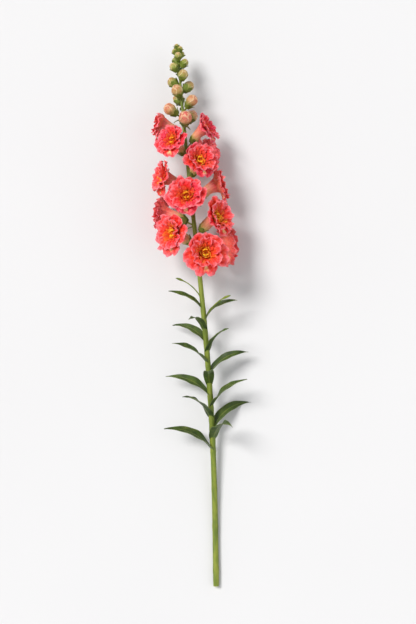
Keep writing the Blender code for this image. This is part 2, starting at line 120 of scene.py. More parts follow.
@dataclass(frozen=True)
class StemLine:
    """The line that the stem follows: flat at its cut end, then up to the height of the spike."""

    shift: Pair = (-2.5 * MM, 3.1 * MM)
    cut_y: float = -300 * MM
    flat_end_y: float = -262 * MM
    risen_y: float = 40 * MM
    tip_y: float = 291 * MM
    spike_height: float = 33.5 * MM
    sway: float = 6 * MM
    sides: int = 10
    places: Numbers = (-300 * MM, -262 * MM, -20 * MM, 200 * MM, 291 * MM)
    radii: Numbers = (3.2 * MM, 3.2 * MM, 2.8 * MM, 1.8 * MM, 0.9 * MM)

    @property
    def foot(self) -> float:
        """Height of the middle of the cut end, which lies on one flat of the solid's sides."""
        return self.radii[0] * math.cos(math.pi / self.sides)

    def radius(self, y: float) -> float:
        """The stem's radius at a place along it."""
        return float(np.interp(y, self.places, self.radii))

    def centre(self, y: float) -> Array:
        """The middle of the stem at a place along it.

        Args:
            y: place along the stem.

        Returns:
            The point, in the part's frame.
        """
        t = (y - self.cut_y) / (self.tip_y - self.cut_y)
        rise = (self.spike_height - self.foot) * float(smooth(y, self.flat_end_y, self.risen_y))
        sway = self.sway * math.sin(1.5 * math.pi * t)
        return np.array([self.shift[0] + sway, self.shift[1] + y, self.foot + rise])

    def axes(self, y: float) -> tuple[Array, Array, Array]:
        """Unit vectors along the stem, up and to its side.

        Args:
            y: place along the stem.

        Returns:
            Three vectors at right angles.
        """
        along = unit(self.centre(y + MM) - self.centre(y - MM))
        side = unit(np.cross(along, (0, 0, 1)))
        return along, np.cross(side, along), side

    def outward(self, y: float, turn: float) -> Array:
        """Unit vector out of the stem, turned that far from up towards the side."""
        _, up, side = self.axes(y)
        return math.cos(turn) * up + math.sin(turn) * side


STEM = StemLine()


class Seat:
    """Where one flower or bud sits: its stalk's root, which way it looks, and how large it is."""

    sunk_share = 0.8
    face_room = 15 * MM

    def __init__(
        self, y: float, turn: float, lean: float, face_lean: float, size: float, tube: float,
        stalk: float,
    ) -> None:
        """Works out the seat's own axes.

        Args:
            y: place along the stem.
            turn: which way round the stem, from up.
            lean: of the stalk and the tube's foot towards the stem's tip.
            face_lean: of the flower's face towards the stem's tip.
            size: share of the full size.
            tube: length of the tube or bud.
            stalk: length of the stalk outside the stem.
        """
        along = STEM.axes(y)[0]
        out = STEM.outward(y, turn)
        self.y, self.turn, self.size, self.tube = y, turn, size, tube
        self.bend = lean - face_lean
        self.root = STEM.centre(y)
        self.forward = math.cos(lean) * out + math.sin(lean) * along
        self.up = math.cos(lean) * along - math.sin(lean) * out
        self.side = np.cross(self.up, self.forward)
        self.neck = self.root + out * STEM.radius(y) * self.sunk_share + self.forward * stalk

    def place(self, points: Array) -> Array:
        """Own points (side, up, forward from the neck) to the frame, along the tube's bend.

        Args:
            points: rows of (side, up, forward).

        Returns:
            The same points in the part's frame.
        """
        points = np.asarray(points, float)
        inside = np.clip(points[..., 2], 0.0, self.tube)
        angle = (self.bend * inside / self.tube)[..., None]
        forward = np.cos(angle) * self.forward - np.sin(angle) * self.up
        up = np.cos(angle) * self.up + np.sin(angle) * self.forward
        bent = np.sin(angle) * self.forward - (1 - np.cos(angle)) * self.up
        centre = self.neck + self.tube / self.bend * bent
        beyond = (points[..., 2] - inside)[..., None] * forward
        return centre + beyond + points[..., 0:1] * self.side + points[..., 1:2] * up

    def axis(self) -> Array:
        """The line its room is measured from: stem, neck, face, and a way in front.

        Returns:
            Five points, the stem's first.
        """
        heights = (0.0, self.tube / 2, self.tube, self.tube + self.face_room)
        return np.vstack([self.root, self.place([(0, 0, height) for height in heights])])


@dataclass(frozen=True)
class Spike:
    """The order of the flowers and buds up the stem, lowest first.

    A pair goes from the lowest of its kind to the highest. Leans are degrees towards the tip.
    """

    first_turn: float = math.radians(20)
    lying_share: float = 0.72
    blooms: int = 13
    first_y: float = 44 * MM
    step: float = 12 * MM
    tube: float = 23.5 * MM
    sizes: Pair = (1.06, 0.86)
    size_curve: float = 1.6
    leans: Pair = (34, 50)
    face_leans: Pair = (8, 28)
    stalk: float = 8.5 * MM
    buds: int = 5
    bud_start: float = 8 * MM
    bud_step: float = 7 * MM
    bud_leans: Pair = (38, 48)
    bud_bend: float = 0.12
    bud_lengths: Pair = (18.5 * MM, 15 * MM)
    bud_sizes: Pair = (1.2, 1.03)
    bud_stalks: Pair = (8.5 * MM, 5.5 * MM)
    green_buds: int = 14
    green_steps: Pair = (6.8 * MM, 2.0 * MM)
    green_leans: Pair = (48, 78)
    green_lean_curve: float = 1.5
    green_bend: float = 0.15
    green_lengths: Pair = (14.5 * MM, 5.0 * MM)
    green_widths: Pair = (12.2 * MM, 4.4 * MM)
    green_stalk: float = 1.2 * MM
    green_stalk_share: float = 0.25

    def lying_turn(self, index: int) -> float:
        """Turn round the stem. What would point straight down is pushed to both sides."""
        turn = (self.first_turn + index * GOLDEN_ANGLE + math.pi) % (2 * math.pi) - math.pi
        return turn * self.lying_share

    def bloom_seats(self) -> list[Seat]:
        """Seats of the open flowers.

        Returns:
            One seat for each flower, the lowest first.
        """
        seats = []
        for index in range(self.blooms):
            share = index / (self.blooms - 1)
            size = between(self.sizes, share**self.size_curve)
            lean = math.radians(between(self.leans, share))
            face_lean = math.radians(between(self.face_leans, share))
            y = self.first_y + self.step * index
            turn = self.lying_turn(index)
            seats.append(Seat(y, turn, lean, face_lean, size, self.tube * size, self.stalk))
        return seats

    def bud_seats(self) -> list[Seat]:
        """Seats of the coloured buds.

        Returns:
            One seat for each coloured bud, the lowest first.
        """
        first = self.first_y + self.step * (self.blooms - 1) + self.bud_start
        seats = []
        for index in range(self.buds):
            share = index / (self.buds - 1)
            turn = self.first_turn + (self.blooms + index) * GOLDEN_ANGLE
            lean = math.radians(between(self.bud_leans, share))
            length = between(self.bud_lengths, share)
            size = between(self.bud_sizes, share)
            stalk = between(self.bud_stalks, share)
            y = first + self.bud_step * index
            seats.append(Seat(y, turn, lean, lean - self.bud_bend, size, length, stalk))
        return seats

    def green_seats(self) -> list[tuple[Seat, float]]:
        """Seats and widths of the green buds that close up to the tip.

        Returns:
            A seat and a width for each green bud, the lowest first.
        """
        y = self.first_y + self.step * (self.blooms - 1) + self.bud_start
        y += self.bud_step * (self.buds - 1)
        seats = []
        for index in range(self.green_buds):
            share = index / (self.green_buds - 1)
            y += between(self.green_steps, share)
            turn = self.first_turn + (self.blooms + self.buds + index) * GOLDEN_ANGLE
            lean = math.radians(between(self.green_leans, share**self.green_lean_curve))
            length = between(self.green_lengths, share)
            stalk = self.green_stalk + self.green_stalk_share * length
            seat = Seat(y, turn, lean, lean - self.green_bend, 1.0, length, stalk)
            seats.append((seat, between(self.green_widths, share)))
        return seats


class Lines:
    """Straight segments of one line or several, and distances to the nearest of them."""

    def __init__(self, lines: list[Array]) -> None:
        """Keeps the segments' starts and runs.

        Args:
            lines: each a run of points.
        """
        self.starts = np.concatenate([line[:-1] for line in lines])
        self.runs = np.concatenate([np.diff(line, axis=0) for line in lines])
        self.squares = (self.runs**2).sum(axis=1)

    def nearest(self, points: Array) -> tuple[Array, Array]:
        """Each point's distance to the segments, and the nearest point on them.

        Args:
            points: any number of points.

        Returns:
            The distances, and the points on the segments.
        """
        gone = points @ self.runs.T - (self.starts * self.runs).sum(axis=1)
        share = np.clip(gone / self.squares, 0.0, 1.0)
        apart = (points**2).sum(axis=1)[:, None] - 2 * points @ self.starts.T
        apart = apart + (self.starts**2).sum(axis=1)
        square = apart - 2 * share * gone + share**2 * self.squares
        which = square.argmin(axis=1)
        row = np.arange(len(points))
        feet = self.starts[which] + share[row, which][:, None] * self.runs[which]
        return np.sqrt(np.maximum(square[row, which], 0.0)), feet


@dataclass
class Crowd:
    """The crowding of the spike: each flower keeps to the room halfway to its neighbours.

    A point is looked at on its ray from the flower's own line, from first_look to reach times its
    distance. It gives way past free_share of the room there, and stays gap short of the end.
    """

    seats: list[Seat]
    gap: float = 0.65 * MM
    near: float = 75 * MM
    free_share: float = 0.55
    first_look: float = 0.1
    reach: float = 1.8
    looks: int = 24

    def __post_init__(self) -> None:
        """Keeps each seat's own line and those of its near neighbours."""
        self.own = {id(seat): Lines([seat.axis()]) for seat in self.seats}
        self.others = {}
        for seat in self.seats:
            face = seat.axis()[-2]
            lines = [
                other.axis()
                for other in self.seats
                if other is not seat and np.linalg.norm(other.axis()[-2] - face) < self.near
            ]
            self.others[id(seat)] = Lines(lines)

    def press(self, seat: Seat, points: Array) -> Array:
        """Bends a flower's points back where they would pass into a neighbour's room.

        Args:
            seat: the flower's own seat.
            points: the flower's points, in the part's frame.

        Returns:
            The points after they have given way.
        """
        own_lines, other_lines = self.own[id(seat)], self.others[id(seat)]
        distance, feet = own_lines.nearest(points)
        ray = points - feet
        limit = np.full(len(points), self.reach)
        open_yet = np.ones(len(points), bool)
        spare_before = np.full(len(points), 1.0)
        shares = np.linspace(self.first_look, self.reach, self.looks)
        for before, share in zip(shares[:-1], shares[1:]):
            tried = feet + ray * share
            spare = other_lines.nearest(tried)[0] - own_lines.nearest(tried)[0] - 2 * self.gap
            met = open_yet & (spare < 0)
            part = np.clip(spare_before / np.maximum(spare_before - spare, 1e-9), 0, 1)
            limit[met] = (before + (share - before) * part)[met]
            open_yet &= ~met
            spare_before = np.maximum(spare, 0)
        furthest = distance * limit
        start = self.free_share * furthest
        room = np.maximum(furthest - start, 1e-9)
        pressed = start + room * np.tanh((distance - start) / room)
        kept = np.where((distance > start) & (limit < self.reach), pressed, distance)
        return feet + ray * (kept / np.maximum(distance, 1e-9))[:, None]


def read_rows(table: Array, shares: Array) -> Array:
    """Rows read from a table at shares 0 to 1 of its length.

    Args:
        table: rows of three numbers, evenly spread.
        shares: where to read it.

    Returns:
        One row of three numbers for each share.
    """
    grid = np.linspace(0, 1, len(table))
    return np.stack([np.interp(shares, grid, table[:, k]) for k in range(3)], -1)


def keep_off_floor(points: Array, lowest: float, band: float = 2 * MM) -> Array:
    """Points near the surface flatten out on it at the lowest height given.

    Args:
        points: changed in place.
        lowest: the height that none may pass.
        band: how far above and below it the easing reaches.

    Returns:
        The same points.
    """
    above = points[..., 2] - lowest
    eased = np.clip(above + band, 0.0, 2 * band) ** 2 / (4 * band)
    points[..., 2] = lowest + np.where(above < band, eased, above)
    return points


class Blank(Enum):
    """The primitives that pieces start from."""

    SHEET = "sheet"
    TUBE = "tube"
    EGG = "egg"


class Pattern:
    """A primitive kept as a pattern. Its points' own coordinates say where each goes.

    u runs across a sheet from -1 to 1, or round a tube or egg as an angle. v runs along from 0 to
    1. core is 0 at the middle of a tube's end and 1 elsewhere.
    """

    def __init__(self, blank: Blank, across: int, along: int) -> None:
        """Adds the primitive with that many faces across and along, and takes its mesh.

        Args:
            blank: which primitive.
            across: faces across, or round.
            along: faces along.
        """
        deselect()
        if blank is Blank.SHEET:
            bpy.ops.mesh.primitive_grid_add(x_subdivisions=across, y_subdivisions=along, size=2)
        elif blank is Blank.TUBE:
            self.add_tube(across, along)
        else:
            bpy.ops.mesh.primitive_uv_sphere_add(segments=across, ring_count=along, radius=1)
        made = bpy.context.object
        self.mesh = made.data
        bpy.data.objects.remove(made)
        flat = np.empty(len(self.mesh.vertices) * 3)
        self.mesh.vertices.foreach_get("co", flat)
        x, y, z = flat.reshape(-1, 3).T
        self.core = np.ones(len(x))
        if blank is Blank.SHEET:
            self.u, self.v = x, (y + 1) / 2
        elif blank is Blank.TUBE:
            self.u, self.v = np.arctan2(y, x), z + 0.5
            self.core = (np.hypot(x, y) > 0.5).astype(float)
        else:
            self.u, self.v = np.arctan2(y, x), np.arccos(np.clip(-z, -1, 1)) / math.pi

    @staticmethod
    def add_tube(sides: int, rings: int) -> None:
        """Adds a cylinder with closed ends and cuts its wall into rings.

        Args:
            sides: faces round.
            rings: faces along.
        """
        bpy.ops.mesh.primitive_cylinder_add(
            vertices=sides, radius=1, depth=1, end_fill_type="TRIFAN"
        )
        made = bpy.context.object
        upright = [
            edge.index
            for edge in made.data.edges
            if abs(np.subtract(*(made.data.vertices[v].co for v in edge.vertices))[2]) > 0.5
        ]
        bpy.ops.object.mode_set(mode="EDIT")
        bpy.ops.mesh.select_mode(type="EDGE")
        bpy.ops.mesh.select_all(action="DESELECT")
        bpy.ops.object.mode_set(mode="OBJECT")
        for index in upright:
            made.data.edges[index].select = True
        bpy.ops.object.mode_set(mode="EDIT")
        bpy.ops.mesh.subdivide(number_cuts=rings - 1)
        bpy.ops.object.mode_set(mode="OBJECT")

    def cut(self, points: Array, marks: dict[str, Array | float]) -> bpy.types.Object:
        """A copy of the pattern with its points at new places.

        Args:
            points: the new places, one row for each point of the pattern.
            marks: values that the finish reads on the surface, for each point or for all.

        Returns:
            The new object, with its own mesh.
        """
        mesh = self.mesh.copy()
        mesh.vertices.foreach_set("co", np.ascontiguousarray(points, float).ravel())
        for name, value in marks.items():
            mark = mesh.attributes.new(name, "FLOAT", "POINT")
            mark.data.foreach_set("value", np.broadcast_to(value, len(points)).astype(np.float32))
        made = bpy.data.objects.new("cut", mesh)
        bpy.context.scene.collection.objects.link(made)
        return made


def deselect() -> None:
    """Leaves nothing selected, in object mode."""
    bpy.ops.object.select_all(action="DESELECT")


def join(
    name: str, parts: list[bpy.types.Object], finishes: tuple[bpy.types.Material, ...] = ()
) -> bpy.types.Object:
    """Joins objects into one, which keeps the finish of each face.

    Args:
        name: the name of the joined object.
        parts: the objects.
        finishes: the material slots that all of them have, first slot first.

    Returns:
        The joined object.
    """
    deselect()
    for part in parts:
        dress(part, *finishes)
        part.select_set(True)
    bpy.context.view_layer.objects.active = parts[0]
    if len(parts) > 1:
        bpy.ops.object.join()
    joined = bpy.context.object
    joined.name = joined.data.name = name
    return joined


def thicken(piece: bpy.types.Object, thickness: float, back_slot: int = 0) -> None:
    """Gives a sheet its thickness on both sides, with its back in a later material slot.

    Args:
        piece: a thin sheet.
        thickness: from face to face.
        back_slot: how many slots after its front's the back's material comes.
    """
    solid = piece.modifiers.new("thickness", "SOLIDIFY")
    solid.thickness = thickness
    solid.offset = 0
    solid.use_rim = True
    solid.material_offset = back_slot
    deselect()
    piece.select_set(True)
    bpy.context.view_layer.objects.active = piece
    bpy.ops.object.modifier_apply(modifier=solid.name)


def finish_mesh(piece: bpy.types.Object, sharp_degrees: float = 60) -> bpy.types.Object:
    """Shades a piece smooth but for its sharp edges.

    Args:
        piece: its mesh is complete.
        sharp_degrees: bends past this stay sharp.

    Returns:
        The same piece.
    """
    deselect()
    piece.select_set(True)
    bpy.context.view_layer.objects.active = piece
    bpy.ops.object.shade_smooth_by_angle(angle=math.radians(sharp_degrees))
    return piece


def dress(piece: bpy.types.Object, *finishes: bpy.types.Material) -> None:
    """Fills the piece's empty material slots with the finishes, first slot first.

    Args:
        piece: any mesh object.
        finishes: one material for each slot.
    """
    if not piece.data.materials:
        for finish in finishes:
            piece.data.materials.append(finish)


class Wire:
    """A number that runs between nodes. Python's operators add its Math nodes."""

    def __init__(self, bench: "Bench", socket: bpy.types.NodeSocket) -> None:
        """Keeps the socket and the bench that its nodes are added to."""
        self.bench = bench
        self.socket = socket

    def math(self, operation: str, *values: "Wire | float") -> "Wire":
        """A Math node on this value and others.

        Args:
            operation: the node's name for it.
            values: its other inputs.

        Returns:
            The node's result.
        """
        node = self.bench.node(
            "ShaderNodeMath", {"operation": operation}, dict(enumerate((self, *values)))
        )
        return Wire(self.bench, node.outputs[0])

    def __add__(self, other: "Wire | float") -> "Wire":
        """Sum."""
        return self.math("ADD", other)

    __radd__ = __add__

    def __mul__(self, other: "Wire | float") -> "Wire":
        """Product."""
        return self.math("MULTIPLY", other)

    __rmul__ = __mul__

    def __sub__(self, other: "Wire | float") -> "Wire":
        """Difference."""
        return self.math("SUBTRACT", other)

    def __rsub__(self, other: float) -> "Wire":
        """A number less this value."""
        return (self * -1.0) + other

    def __abs__(self) -> "Wire":
        """Size without its sign."""
        return self.math("ABSOLUTE")

    def wave(self) -> "Wire":
        """Sine."""
        return self.math("SINE")

    def step(self, low: float, high: float) -> "Wire":
        """0 below low and 1 above high, with a smooth rise, or a fall where low is the higher.

        Args:
            low: where the rise starts.
            high: where it ends.

        Returns:
            The stepped value.
        """
        node = self.bench.node(
            "ShaderNodeMapRange",
            {"interpolation_type": "SMOOTHSTEP"},
            {"Value": self, "From Min": low, "From Max": high},
        )
        return Wire(self.bench, node.outputs["Result"])


class Bench:
    """Builds one material's nodes."""

    def __init__(self, name: str) -> None:
        """Starts a material with only its shader and output.

        Args:
            name: of the material.
        """
        self.material = bpy.data.materials.new(name)
        self.material.use_nodes = True
        self.tree = self.material.node_tree
        self.shader = self.tree.nodes["Principled BSDF"]

    def node(
        self, kind: str, settings: dict | None = None, inputs: dict | None = None
    ) -> bpy.types.Node:
        """A node of any type.

        Args:
            kind: the node's type.
            settings: its properties, or stops for a ramp as (place, colour) pairs.
            inputs: values, wires or sockets for its inputs, by name or number.

        Returns:
            The node.
        """
        node = self.tree.nodes.new(kind)
        for key, value in (settings or {}).items():
            if key == "stops":
                stops = node.color_ramp.elements
                while len(stops) < len(value):
                    stops.new(1.0)
                for stop, (place, colour) in zip(stops, value):
                    stop.position = place
                    stop.color = (*colour, 1)
            else:
                setattr(node, key, value)
        self.plug(node, inputs or {})
        return node

    def plug(self, node: bpy.types.Node, inputs: dict) -> None:
        """Sets or links a node's inputs.

        Args:
            node: whose inputs they are.
            inputs: values, wires or sockets, by name or number.
        """
        for key, value in inputs.items():
            socket = node.inputs[key]
            if isinstance(value, Wire):
                self.tree.links.new(value.socket, socket)
            elif isinstance(value, bpy.types.NodeSocket):
                self.tree.links.new(value, socket)
            elif isinstance(value, tuple) and len(value) == 3 and socket.type == "RGBA":
                socket.default_value = (*value, 1)
            else:
                socket.default_value = value

    def mark(self, name: str) -> Wire:
        """A value that the mesh carries on its points.

        Args:
            name: of the attribute.

        Returns:
            Its value.
        """
        node = self.node("ShaderNodeAttribute", {"attribute_name": name})
        return Wire(self, node.outputs["Fac"])

    def place(self) -> bpy.types.NodeSocket:
        """The point's own place on the piece."""
        return self.node("ShaderNodeTexCoord").outputs["Object"]

    def noise(
        self, scale: float, detail: float = 3, vector: bpy.types.NodeSocket | None = None,
        rough: float = 0.55,
    ) -> Wire:
        """Cloudy noise from 0 to 1.

        Args:
            scale: grains to a metre.
            detail: how many finer layers it has.
            vector: where it is read, or nothing for the piece's own place.
            rough: how strong the finer layers are.

        Returns:
            The noise.
        """
        inputs = {"Scale": scale, "Detail": detail, "Roughness": rough}
        inputs["Vector"] = vector or self.place()
        return Wire(self, self.node("ShaderNodeTexNoise", {}, inputs).outputs["Fac"])

    def ramp(self, value: Wire, *stops: tuple[float, str]) -> bpy.types.NodeSocket:
        """Colours along a value.

        Args:
            value: what is looked up.
            stops: (value, hex colour) pairs.

        Returns:
            The colour.
        """
        pairs = [(place, linear(colour)) for place, colour in stops]
        return self.node("ShaderNodeValToRGB", {"stops": pairs}, {"Fac": value}).outputs["Color"]

    def mix(
        self, share: Wire | float, under: bpy.types.NodeSocket | str,
        over: bpy.types.NodeSocket | str,
    ) -> bpy.types.NodeSocket:
        """Two colours mixed. Either can be a socket or a hex colour.

        Args:
            share: of the second colour.
            under: the first colour.
            over: the second colour.

        Returns:
            The mixed colour.
        """
        under, over = (linear(c) if isinstance(c, str) else c for c in (under, over))
        node = self.node("ShaderNodeMix", {"data_type": "RGBA"}, {0: share, 6: under, 7: over})
        return node.outputs[2]

    def bump(self, height: Wire, distance: float, strength: float = 1.0) -> None:
        """Small relief on the shader.

        Args:
            height: of the relief, from 0 to 1.
            distance: that a height of 1 stands for.
            strength: of the whole relief.
        """
        inputs = {"Height": height, "Distance": distance, "Strength": strength}
        node = self.node("ShaderNodeBump", {}, inputs)
        self.tree.links.new(node.outputs["Normal"], self.shader.inputs["Normal"])

    def shade(
        self, colour: bpy.types.NodeSocket, roughness: Wire | float, **constants: float | Numbers
    ) -> bpy.types.Material:
        """Sets the shader and hands over the material.

        Args:
            colour: a socket.
            roughness: a wire or a number.
            constants: other inputs of the shader, with underscores for spaces.

        Returns:
            The finished material.
        """
        inputs = {key.replace("_", " "): value for key, value in constants.items()}
        self.plug(self.shader, {"Base Color": colour, "Roughness": roughness, **inputs})
        return self.material


@dataclass(frozen=True)
class PetalFinish:
    """Coral petal: deep and orange at the root, pinker and paler towards its edge."""

    name: str = "coral_petal"
    root: str = "a80c06"
    low: str = "e42c10"
    middle: str = "f0221c"
    high: str = "f03438"
    edge: str = "f87e88"
    warm: str = "f8602c"
    pink: str = "de2860"
    deep: str = "c8101c"
    streak: str = "f8dc9c"
    back: str = "f0ac98"
    paleness: float = 0.0

    def build(self) -> bpy.types.Material:
        """Makes the material. It reads along, across, tint and streak on the petal, and the crest
        relief, from which it paints highlight on ridges and shade in creases.

        Returns:
            The finished material.
        """
        bench = Bench(self.name)
        along, across = bench.mark("along"), bench.mark("across")
        tint, streak = bench.mark("tint"), bench.mark("streak")
        cloud = bench.noise(90, 4)
        reach = along + (cloud - 0.5) * 0.2
        colour = bench.ramp(
            reach, (0.0, self.root), (0.2, self.low), (0.46, self.middle), (0.8, self.high),
            (1.0, self.edge),
        )
        colour = bench.mix(tint.step(0.4, 1.0) * 0.75 * along.step(1.1, 0.3), colour, self.warm)
        colour = bench.mix(along.step(0.55, 0.15) * 0.45, colour, self.warm)
        colour = bench.mix(tint.step(0.5, 0.0) * 0.6, colour, self.pink)
        lanes = bench.node(
            "ShaderNodeCombineXYZ",
            {},
            {"X": across * 9.0 + tint * 40.0, "Y": along * 2.2, "Z": cloud * 1.5},
        )
        lane = bench.noise(1.0, 5, lanes.outputs["Vector"], 0.65)
        colour = bench.mix(lane.step(0.48, 0.3) * 0.6, colour, self.deep)
        colour = bench.mix(lane.step(0.54, 0.74) * along.step(0.2, 0.7) * 0.5, colour, self.edge)
        light = bench.noise(130, 3)
        colour = bench.mix(light.step(0.55, 0.75) * along.step(0.35, 0.8) * 0.3, colour, self.edge)
        # Painted highlight and painted shade: the petal's ridges are mixed paler and its creases
        # deeper red, as light would fall on them.
        crest = bench.mark("crest") + (light - 0.5) * 0.5
        colour = bench.mix(crest.step(0.1, 0.9) * along.step(0.3, 0.8) * 0.45, colour, self.edge)
        colour = bench.mix(crest.step(-0.1, -0.9) * 0.5, colour, self.deep)
        fan = (across * 30.0 + (bench.noise(140, 2) - 0.5) * 5.0).wave()
        veins = fan.step(0.55, 1.0) * along.step(0.05, 0.4) * along.step(1.0, 0.75)
        colour = bench.mix(veins * 0.25, colour, self.deep)
        rim = along.step(0.9, 1.0) + abs(across).step(0.9, 1.0) * along.step(0.3, 0.7)
        colour = bench.mix(rim.math("MINIMUM", 1.0) * 0.5, colour, self.edge)
        centre = abs(across).step(0.22, 0.05) * along.step(0.25, 0.45) * along.step(0.9, 0.6)
        colour = bench.mix(centre * streak * 0.9, colour, self.streak)
        if self.paleness:
            colour = bench.mix(self.paleness, colour, self.back)
        relief = fan * 0.25 + bench.noise(260, 3) * 1.4 + lane * 1.2 + bench.noise(1200, 2) * 0.3
        bench.bump(relief, 0.32 * MM, 0.85)
        return bench.shade(
            colour,
            bench.noise(300, 2) * 0.2 + 0.38,
            Subsurface_Weight=0.4,
            Subsurface_Radius=(1.0, 0.16, 0.12),
            Subsurface_Scale=1.5 * MM,
            Specular_IOR_Level=0.3,
            Sheen_Weight=0.04,
        )


@dataclass(frozen=True)
class TubeFinish:
    """The flower's tube: greenish at its foot, pale peach up its side, red inside the throat."""

    name: str = "flower_tube"
    skin: Stops = (
        (0.0, "98a040"), (0.17, "b4ac5c"), (0.27, "d89c70"), (0.4, "e67e6c"), (0.52, "e85450"),
        (0.62, "e4381c"), (0.78, "e63e10"), (1.0, "ee4c12"),
    )
    dark: str = "c4454a"
    pale: str = "eab08c"
    vein: str = "c83c48"

    def build(self) -> bpy.types.Material:
        """Makes the material. along runs from the foot over the rim and down the throat.

        Returns:
            The finished material.
        """
        bench = Bench(self.name)
        along, across = bench.mark("along"), bench.mark("across")
        reach = along + (bench.noise(120, 3) - 0.5) * 0.08
        colour = bench.ramp(reach, *self.skin)
        lanes = bench.node(
            "ShaderNodeCombineXYZ", {}, {"X": across * 26.0, "Y": along * 7.0, "Z": reach}
        )
        lane = bench.noise(1.0, 4, lanes.outputs["Vector"], 0.6)
        outside = along.step(0.62, 0.5)
        colour = bench.mix(lane.step(0.5, 0.68) * 0.5 * outside, colour, self.dark)
        colour = bench.mix(lane.step(0.47, 0.32) * 0.4 * outside, colour, self.pale)
        lines = (across * 44.0 + (bench.noise(160, 2) - 0.5) * 2.5).wave().step(0.5, 1.0)
        colour = bench.mix(lines * 0.4 * outside, colour, self.vein)
        bench.bump(lines * 0.5 + lane + bench.noise(400, 2), 0.16 * MM, 0.7)
        return bench.shade(
            colour, 0.5, Subsurface_Weight=0.25, Subsurface_Radius=(1.0, 0.3, 0.2),
            Subsurface_Scale=1.6 * MM, Sheen_Weight=0.15,
        )


@dataclass(frozen=True)
class HeartFinish:
    """The small folded petals in the throat: red-orange with yellow rims."""

    name: str = "heart_orange"
    flesh: Stops = (
        (0.0, "d42c10"), (0.25, "e63a14"), (0.5, "f2481a"), (0.8, "f65c24"), (1.0, "fa8030"),
    )
    red: str = "ee3a3c"
    gold: str = "ffb836"
    flame: str = "ffce3e"

    def build(self) -> bpy.types.Material:
        """Makes the material. It reads along, across and tint.

        Returns:
            The finished material.
        """
        bench = Bench(self.name)
        along, across = bench.mark("along"), bench.mark("across")
        tint = bench.mark("tint")
        reach = along + (bench.noise(150, 3) - 0.5) * 0.15
        colour = bench.ramp(reach, *self.flesh)
        colour = bench.mix(tint.step(0.95, 0.1) * 0.75, colour, self.red)
        rim = abs(across).step(0.8, 1.0) * along.step(0.4, 0.7) + along.step(0.88, 1.0)
        gold = rim.math("MINIMUM", 1.0) * tint.step(0.2, 0.7) * 0.6
        colour = bench.mix(gold, colour, self.gold)
        flame = tint.step(0.7, 1.0) * along.step(0.45, 0.95) * bench.noise(260, 2).step(0.4, 0.6)
        colour = bench.mix(flame * 0.5, colour, self.flame)
        bench.bump(bench.noise(400, 3), 0.12 * MM, 0.5)
        return bench.shade(
            colour, 0.42, Subsurface_Weight=0.5, Subsurface_Radius=(1.0, 0.45, 0.12),
            Subsurface_Scale=2.4 * MM, Specular_IOR_Level=0.3,
        )


@dataclass(frozen=True)
class PollenFinish:
    """Anthers: bright yellow and grainy."""

    name: str = "anther_yellow"
    dark: str = "f0b010"
    light: str = "ffdc30"

    def build(self) -> bpy.types.Material:
        """Makes the material.

        Returns:
            The finished material.
        """
        bench = Bench(self.name)
        grain = bench.noise(2500, 2)
        colour = bench.mix(grain.step(0.3, 0.7), self.dark, self.light)
        bench.bump(grain, 0.15 * MM)
        return bench.shade(colour, 0.7, Subsurface_Weight=0.15, Subsurface_Scale=0.6 * MM)


@dataclass(frozen=True)
class BudFinish:
    """Closed coloured bud: yellow-green at its foot, peach above, netted with red lines."""

    name: str = "bud_peach"
    young: Stops = ((0.0, "5a6e1c"), (0.35, "74862c"), (0.75, "8e963c"), (1.0, "a88646"))
    grown: Stops = ((0.0, "84963a"), (0.32, "b4a65c"), (0.62, "dc946e"), (1.0, "d8605a"))
    pale: str = "c8b47c"
    lines: str = "a83028"
    flush: str = "ac4034"
    rim: str = "f0d4a4"

    def build(self) -> bpy.types.Material:
        """Makes the material. along runs up the bud, and ripe says how far it has coloured.

        Returns:
            The finished material.
        """
        bench = Bench(self.name)
        along, ripe = bench.mark("along"), bench.mark("ripe")
        reach = along + (bench.noise(150, 3) - 0.5) * 0.25
        young, grown = bench.ramp(reach, *self.young), bench.ramp(reach, *self.grown)
        colour = bench.mix(ripe, young, grown)
        colour = bench.mix(bench.noise(180, 3).step(0.5, 0.75) * 0.5, colour, self.pale)
        warp = bench.node("ShaderNodeTexNoise", {}, {"Vector": bench.place(), "Scale": 400.0})
        bent = bench.node(
            "ShaderNodeMix",
            {"data_type": "VECTOR"},
            {0: 0.0025, 4: bench.place(), 5: warp.outputs["Color"]},
        )
        cells = bench.node(
            "ShaderNodeTexVoronoi",
            {"feature": "DISTANCE_TO_EDGE"},
            {"Vector": bent.outputs[1], "Scale": 850.0, "Randomness": 1.0},
        )
        net = Wire(bench, cells.outputs["Distance"]).step(0.13, 0.02)
        net = net * bench.noise(250, 2).step(0.35, 0.6) * along.step(0.15, 0.5)
        colour = bench.mix(net * (ripe * 0.35 + 0.3), colour, self.lines)
        flush = bench.noise(330, 3).step(0.47, 0.62) * along.step(0.35, 0.8)
        colour = bench.mix(flush * (ripe * 0.3 + 0.22), colour, self.flush)
        rim = bench.mark("rim").step(0.8, 1.0)
        colour = bench.mix(rim * 0.6, colour, self.rim)
        bench.bump(net * -0.3 + bench.noise(700, 3), 0.14 * MM, 0.7)
        return bench.shade(
            colour, 0.5, Subsurface_Weight=0.2, Subsurface_Radius=(1.0, 0.4, 0.2),
            Subsurface_Scale=1.2 * MM, Sheen_Weight=0.1,
        )


